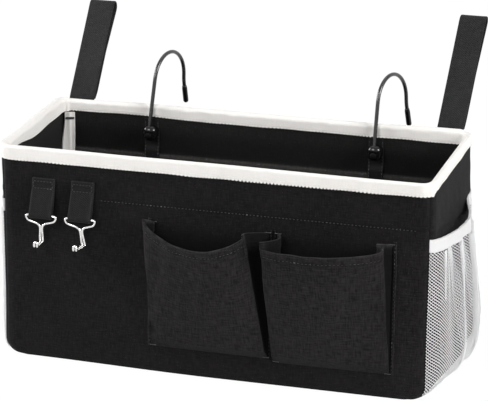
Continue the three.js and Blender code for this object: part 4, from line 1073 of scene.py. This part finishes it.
for side, one in straps.items():
    sine, cosine = np.sin(np.radians(one["lean"])), np.cos(np.radians(one["lean"]))
    loop = np.concatenate([
        [[strap["ease"], 0.0]], arc((strap["length"], strap["fold"]), strap["fold"], -np.pi / 2, np.pi / 2),
        [[tapeEnds[1], strap["stack"]], [tapeEnds[0] - 5, strap["stack"]], [strap["tailEnd"], 2.6]]])
    root = [[strap["rootFace"], strap["rootFoot"]], [strap["rootFace"], strap["rootStep"]],
            [strap["hingeFace"], strap["stepTop"]], [strap["hingeFace"], strap["hinge"] - strap["ease"]]]
    path = evenPath(np.concatenate([root, strapPlace(*loop.T, sine, cosine)]), 1.1, 3)
    alongStrap = sine * (path[:, 0] - strap["hingeFace"]) + cosine * (path[:, 1] - strap["hinge"])
    drift = one["drift"] * np.maximum(alongStrap, 0)
    centre = one["sign"] * strap["centre"] - strap["shift"]
    patch = ribbonPatch(path, strap["width"], strap["thickness"], centre, drift, 0.12)
    piece = makePiece(side + "_strap_webbing", [patch], "webbing", sharp=60)
    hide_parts(side + "_strap", side + "_strap_root")
    hinge = np.array([centre, strap["hingeFace"], strap["hinge"]])
    above = hinge + np.array([0, sine, cosine]) * 5
    above * mm
    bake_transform(piece)
    for tape, through in (("loop_tape", 1.5), ("hook_tape", 2.8)):
        tapePath = evenPath(strapPlace(tapeEnds, through, sine, cosine), 0.8, 0)
        drift = one["drift"] * np.linspace(*tapeEnds, len(tapePath))
        patch = ribbonPatch(tapePath, strap["width"] - 2, strap["tape"], centre, drift)
        patch[0][:, 1:] += 0.1 * np.cos(patch[2] @ np.array([[7.1, 3.3], [2.9, 8.3]]))
        node = f"{side}_{tape}"
        dress(node + "_pile", [patch], "fastener", side + "_strap_body", "fastener", node, sharp=60)
    sewnFace = strap["rootFace"] + 0.75
    sewn = sewnBox(centre, strap["sewnHalf"], strap["sewnLevels"], sewnFace, toBack, "strap")
    dress(side + "_strap_stitches", sewn, "blackThread", "caddy", "webbing")
print("straps made")

# Hanging hooks: an enamelled wire with a leaning shank, a round crook and a covered tip, in a riveted socket.
hook = {
    "wire": 3.1, "centre": 93.0, "shift": 1.25, "depth": 57.8, "foot": 156.5, "insert": 3.6, "shank": 36.3,
    "radius": 22.0, "lean": 14.0, "flare": 23.0, "tipDiameter": 4.35, "tipCover": 11.0, "tipEnd": 1.2,
    "socketWidth": 12.0, "socketHeight": 12.5, "socketFront": 54.3, "socketBack": 63.5, "socketRound": 5.4,
    "backRound": 0.6, "socketEdge": 4.6, "rivetHead": 5.0, "rivetDome": 0.9, "rivetHeight": 149.0,
    "bandWidth": 12.4, "bandThickness": 1.0, "bandFoot": 95.0, "bandTop": 160.7, "bandRow": 0.9,
}
hooks = {
    "left": {"sign": -1, "yaw": 75.5, "roll": 0.4, "lift": 2.2, "tip": 18.6},
    "right": {"sign": 1, "yaw": 72.0, "roll": 4.1, "lift": -1.5, "tip": 18.2},
}
for side, one in hooks.items():
    yaw, lean, roll, flare = np.radians([one["yaw"], hook["lean"], one["roll"], hook["flare"]])
    foot = np.array([one["sign"] * hook["centre"] + hook["shift"], hook["depth"], hook["foot"]])
    upAxis = np.array([np.sin(lean) * np.cos(yaw), np.sin(lean) * np.sin(yaw), np.cos(lean)])
    outAxis = np.array([np.cos(lean) * np.cos(yaw), np.cos(lean) * np.sin(yaw), -np.sin(lean)])
    upAxis = upAxis * np.cos(roll) + np.cross(upAxis, outAxis) * np.sin(roll)
    sideAxis = np.cross(upAxis, outAxis)
    shank = hook["shank"] + one["lift"]
    tipPlace = lambda way: placed(2 * hook["radius"] + way * np.sin(flare), shank - way * np.cos(flare))
    toHook = lambda flat: foot + flat[:, :1] * outAxis + flat[:, 1:] * upAxis
    ends = [[0, -hook["insert"]]], [tipPlace(one["tip"])]
    flat = np.concatenate([ends[0], arc((hook["radius"], shank), hook["radius"], np.pi, 0.0, 60), ends[1]])
    flat = evenPath(flat, 0.6, 40)
    flat[:1], flat[-1:] = ends
    patch = tubePatch(toHook(flat), hook["wire"] / 2, 20, sideAxis)
    dress(side + "_hook_wire", [patch], "enamel", side + "_hook_body", "enamel", side + "_hook")
    cover = np.linspace(one["tip"] - hook["tipCover"] - 0.4, one["tip"] + hook["tipEnd"] - 0.6, 30)
    coverSize = hook["tipDiameter"] / 2 * (0.9 + 0.1 * step(np.arange(30), 0, 4))
    patch = tubePatch(toHook(tipPlace(cover)), coverSize, 20, sideAxis)
    dress(side + "_hook_sleeve", [patch], "plastic", side + "_hook_body", "plastic", side + "_hook_tip")

    # Socket: a block with a rounded front and eased edges; its section shrinks to close both ends.
    half, tall, edge = hook["socketWidth"] / 2, hook["socketHeight"], hook["socketEdge"]
    low, high, corner, small = hook["socketFront"], hook["socketBack"], hook["socketRound"], hook["backRound"]
    section = np.concatenate([
        arc((half - corner, low + corner), corner, -np.pi / 2, 0, 9),
        arc((half - small, high - small), small, 0, np.pi / 2, 5),
        arc((small - half, high - small), small, np.pi / 2, np.pi, 5),
        arc((corner - half, low + corner), corner, np.pi, 1.5 * np.pi, 9)])
    section = np.concatenate([section, section[:1]])
    middle = np.array([0.0, (low + high) / 2])
    ease = np.linspace(0, np.pi / 2, 6)
    level = np.concatenate([[0], edge * (1 - np.cos(ease)), tall - edge * (1 - np.cos(ease[::-1])), [tall]])
    shrink = np.concatenate([[half], edge * (1 - np.sin(ease)), edge * (1 - np.sin(ease[::-1])), [half]])
    outline = middle + (section - middle) * (1 - shrink[:, None, None] / half)
    points = placed(foot[0] + outline[..., 0], outline[..., 1], (hook["foot"] - tall + level)[:, None])
    patch = gridPatch(points, points[..., [0, 2]])
    dress(side + "_hook_block", [patch], "plastic", "caddy", "plastic", side + "_hook_socket")
    turn, dome = np.linspace(0, tau, 33), np.linspace(0, np.pi / 2, 9)[:, None]
    size, rise = hook["rivetHead"] / 2 * np.cos(dome), hook["rivetDome"] * np.sin(dome)
    size, rise = np.concatenate([[[0.0]], size]), np.concatenate([[[0.0]], rise])
    points = placed(foot[0] + size * np.cos(turn), low - 0.1 - rise, hook["rivetHeight"] + size * np.sin(turn))
    patch = gridPatch(points, points[..., [0, 2]])
    dress(side + "_rivet_head", [patch], "dullPlastic", "caddy", "plastic", side + "_hook_rivet", sharp=60)

    # Webbing band behind the socket, down the back wall and over the ledge of the lining.
    lowFace, topFace = halfDepth - body["liningFar"] - 0.8, halfDepth - body["liningNear"] - 0.8
    path = [[lowFace, hook["bandFoot"]], [lowFace, 135], [topFace, 138], [topFace, hook["bandTop"]]]
    path = evenPath(path, 1.0, 2)
    patch = ribbonPatch(path, hook["bandWidth"], hook["bandThickness"], foot[0], 0.0, 0.1)
    dress(side + "_hook_webbing", [patch], "darkWebbing", "caddy", "webbing", side + "_hook_band", sharp=60)
    rows = []
    for edgeX in (hook["bandRow"] - hook["bandWidth"] / 2, hook["bandWidth"] / 2 - hook["bandRow"]):
        line = placed(foot[0] + edgeX, path[:, 0] - 0.62, path[:, 1])
        rows.append(stitchPatch(line[2:-2], toFront, "hookBand"))
    dress(side + "_hook_stitches", rows, "blackThread", "caddy", "webbing")
print("hooks made")

# Key tabs and hooks: webbing doubled round the bar of a bent bright wire.
key = {
    "tabWidth": 18.4, "tabThickness": 1.2, "tabTop": 148.2, "tabBend": 140.7, "tabSkew": 0.05, "tabMiddle": 128,
    "bar": 119.8, "barDepth": -75.5,
    "sewnHalf": 7.6, "sewnLevels": (146.2, 140.6), "wire": 1.9, "wireGap": 0.4, "loopRoom": 0.55,
    "barHalf": 10.6, "endRadius": 1.8, "neckDrop": 7.4, "neckEase": 2.0, "shankDrop": 20.8,
    "curl": 6.25, "curlDrop": 1.0, "tipRise": 3.2,
}
keyTabs = {"left": {"centre": -135.6, "lean": 0.0}, "right": {"centre": -103.8, "lean": 0.15}}


# Smooth curve through points: each stretch is a cubic whose end slopes come from the neighbours.
def throughPoints(points, each):
    points = np.asarray(points, float)
    ext = np.concatenate([[2 * points[0] - points[1]], points, [2 * points[-1] - points[-2]]])
    gaps = np.maximum(np.linalg.norm(np.diff(ext, axis=0), axis=1) ** 0.5, 1e-4)[:, None]
    p0, p1, p2, p3 = ext[:-3], ext[1:-2], ext[2:-1], ext[3:]
    g0, g1, g2 = gaps[:-2], gaps[1:-1], gaps[2:]
    slope1 = (p1 - p0) / g0 - (p2 - p0) / (g0 + g1) + (p2 - p1) / g1
    slope2 = (p2 - p1) / g1 - (p3 - p1) / (g1 + g2) + (p3 - p2) / g2
    slope1, slope2 = slope1 * g1, slope2 * g1
    t = np.linspace(0, 1, each, endpoint=False)[:, None, None]
    square, cube = 3 * (p2 - p1) - 2 * slope1 - slope2, 2 * (p1 - p2) + slope1 + slope2
    curve = p1 + slope1 * t + square * t ** 2 + cube * t ** 3
    return np.concatenate([curve.transpose(1, 0, 2).reshape(-1, 3), points[-1:]])


for side, one in keyTabs.items():
    centre = one["centre"]
    face = -halfDepth - 0.3 - key["tabThickness"] / 2
    frontFace = face - key["tabThickness"] - 0.3
    lean = np.arctan2(face - key["barDepth"], key["tabBend"] - key["bar"])
    wrap = key["wire"] / 2 + key["loopRoom"] + key["tabThickness"] / 2
    path = evenPath(np.concatenate([
        [[face, key["tabTop"]], [face, key["tabBend"]]],
        arc((key["barDepth"], key["bar"]), wrap, -lean, -lean - np.pi, 20),
        [[frontFace, key["tabBend"]], [frontFace, key["tabTop"]]]]), 0.55, 3)
    skew = key["tabSkew"] * (path[:, 1] - key["tabMiddle"])
    patch = ribbonPatch(path, key["tabWidth"], key["tabThickness"], centre, skew, 0.15)
    fromEdge = np.minimum(patch[2][:, 0], key["tabWidth"] - patch[2][:, 0])
    patch = (*patch, 0.5 + 0.5 * bell(fromEdge - 0.6, 0.9))
    dress(side + "_tab_webbing", [patch], "webbing", "caddy", "webbing", side + "_key_tab", sharp=60)
    sewnX = centre + key["tabSkew"] * 15
    rows = sewnBox(sewnX, key["sewnHalf"], key["sewnLevels"], frontFace - 0.7, toFront, "keyTab")
    dress(side + "_tab_stitches", rows, "blackThread", "caddy", "webbing")

    apart = key["wire"] / 2 + key["wireGap"] / 2
    bar, depth, ease, end = key["bar"], key["barDepth"], key["neckEase"], key["endRadius"]
    half, curl, drop = key["barHalf"], key["curl"], key["curlDrop"]
    neck, curlHeight, curlCentre = bar - key["neckDrop"], bar - key["shankDrop"], depth - curl
    tipHeight = curlHeight + key["tipRise"]
    bend = np.linspace(0, np.pi, 4)
    oneSide = np.concatenate([
        [[key["wireGap"] / 2, depth, bar], [half / 2, depth, bar], [half, depth, bar]],
        [[half + end * 0.8, depth, bar - end * 0.45], [half + end * 0.6, depth, bar - end * 1.4]],
        [[half - end * 0.1, depth, bar - end * 2.3], [apart + ease, depth, neck + ease * 0.4]],
        [[apart, depth, neck - ease * 0.6], [apart, depth, curlHeight + ease * 1.5]],
        placed(apart, curlCentre + curl * np.cos(bend), curlHeight - drop * np.sin(bend)),
        [[apart, curlCentre - curl, tipHeight - apart]]])
    points = np.concatenate([oneSide, [[0.0, curlCentre - curl, tipHeight]], oneSide[::-1] * (-1, 1, 1)])
    below = np.maximum(0, bar - 2 * end - points[:, 2])
    points[:, 0] += centre + one["lean"] * below * (1 - (depth - points[:, 1]) / (2 * curl))
    patch = tubePatch(throughPoints(points, 9), key["wire"] / 2, 14, (0.55, 0.62, 0.56))
    dress(side + "_key_wire", [patch], "chrome", side + "_key_hook_body", "chrome", side + "_key_hook")
print("key hooks made")

# Pale floor, white surround and soft lamps
stage = {
    "floorSize": 7.0, "floorDrop": 0.4, "floorTones": (0.52, 0.56), "floorGlow": 1.04, "glowShare": 0.94,
    "worldLight": 0.24, "aim": (0.0, 0.0, 0.09),
}


# One where the camera sees a surface, also mirrored or through another one.
def seenDirectly(start):
    rays = start.node("ShaderNodeLightPath", output="Is Camera Ray")
    return rays.to("MAXIMUM", rays.also("Is Glossy Ray")).to("MAXIMUM", rays.also("Is Transmission Ray"))


share = np.linspace(-1, 1, 3) * stage["floorSize"] * 500
floorPoints = placed(share[None], share[:, None], -stage["floorDrop"])
finishes["floor"] = floorFinish = bpy.data.materials.new("pale_floor")
floorFinish.use_nodes = True
tree = floorFinish.node_tree
start = Shade(tree)
dark, light = [(tone,) * 3 for tone in stage["floorTones"]]
grain = noise(start, objectPlace(start), 3.0)
tree.nodes.remove(tree.nodes["Principled BSDF"])
plain = start.node("ShaderNodeBsdfDiffuse", {}, {"Color": mixColour(start, grain, dark, light)})
glow = start.node("ShaderNodeEmission", {}, {"Color": (1, 1, 1, 1), "Strength": stage["floorGlow"]})
both = start.node("ShaderNodeMixShader", {}, {0: seenDirectly(start) * stage["glowShare"], 1: plain, 2: glow})
tree.links.new(both.socket, tree.nodes["Material Output"].inputs["Surface"])
floor = makePiece("floor", [gridPatch(floorPoints, floorPoints[..., :2])], "floor")

world = bpy.data.worlds.new("white_room")
scene.world = world
world.use_nodes = True
tree = world.node_tree
sky = tree.nodes["Background"]
sky.inputs["Color"].default_value = (1, 1, 1, 1)
light = stage["worldLight"] + seenDirectly(Shade(tree)) * (1 - stage["worldLight"])
tree.links.new(light.socket, sky.inputs["Strength"])

lamps = {
    "key_lamp": {"at": (-0.9, -2.8, 1.9), "size": 1.3, "power": 52},
    "side_lamp": {"at": (2.7, -0.7, 1.4), "size": 1.1, "power": 84},
    "left_lamp": {"at": (-2.7, -0.3, 1.1), "size": 1.2, "power": 60},
    "top_lamp": {"at": (0.2, 0.5, 2.6), "size": 1.4, "power": 6},
}
for name, lamp in lamps.items():
    light = bpy.data.lights.new(name, "AREA")
    light.size = lamp["size"]
    light.energy = lamp["power"]
    source = bpy.data.objects.new(name, light)
    source.location = lamp["at"]
    heading = np.array(stage["aim"]) - lamp["at"]
    length = np.linalg.norm(heading)
    source.rotation_euler = (np.arccos(-heading[2] / length), 0, np.arctan2(heading[1], heading[0]) - np.pi / 2)
    scene.collection.objects.link(source)
print("stage and lamps made")
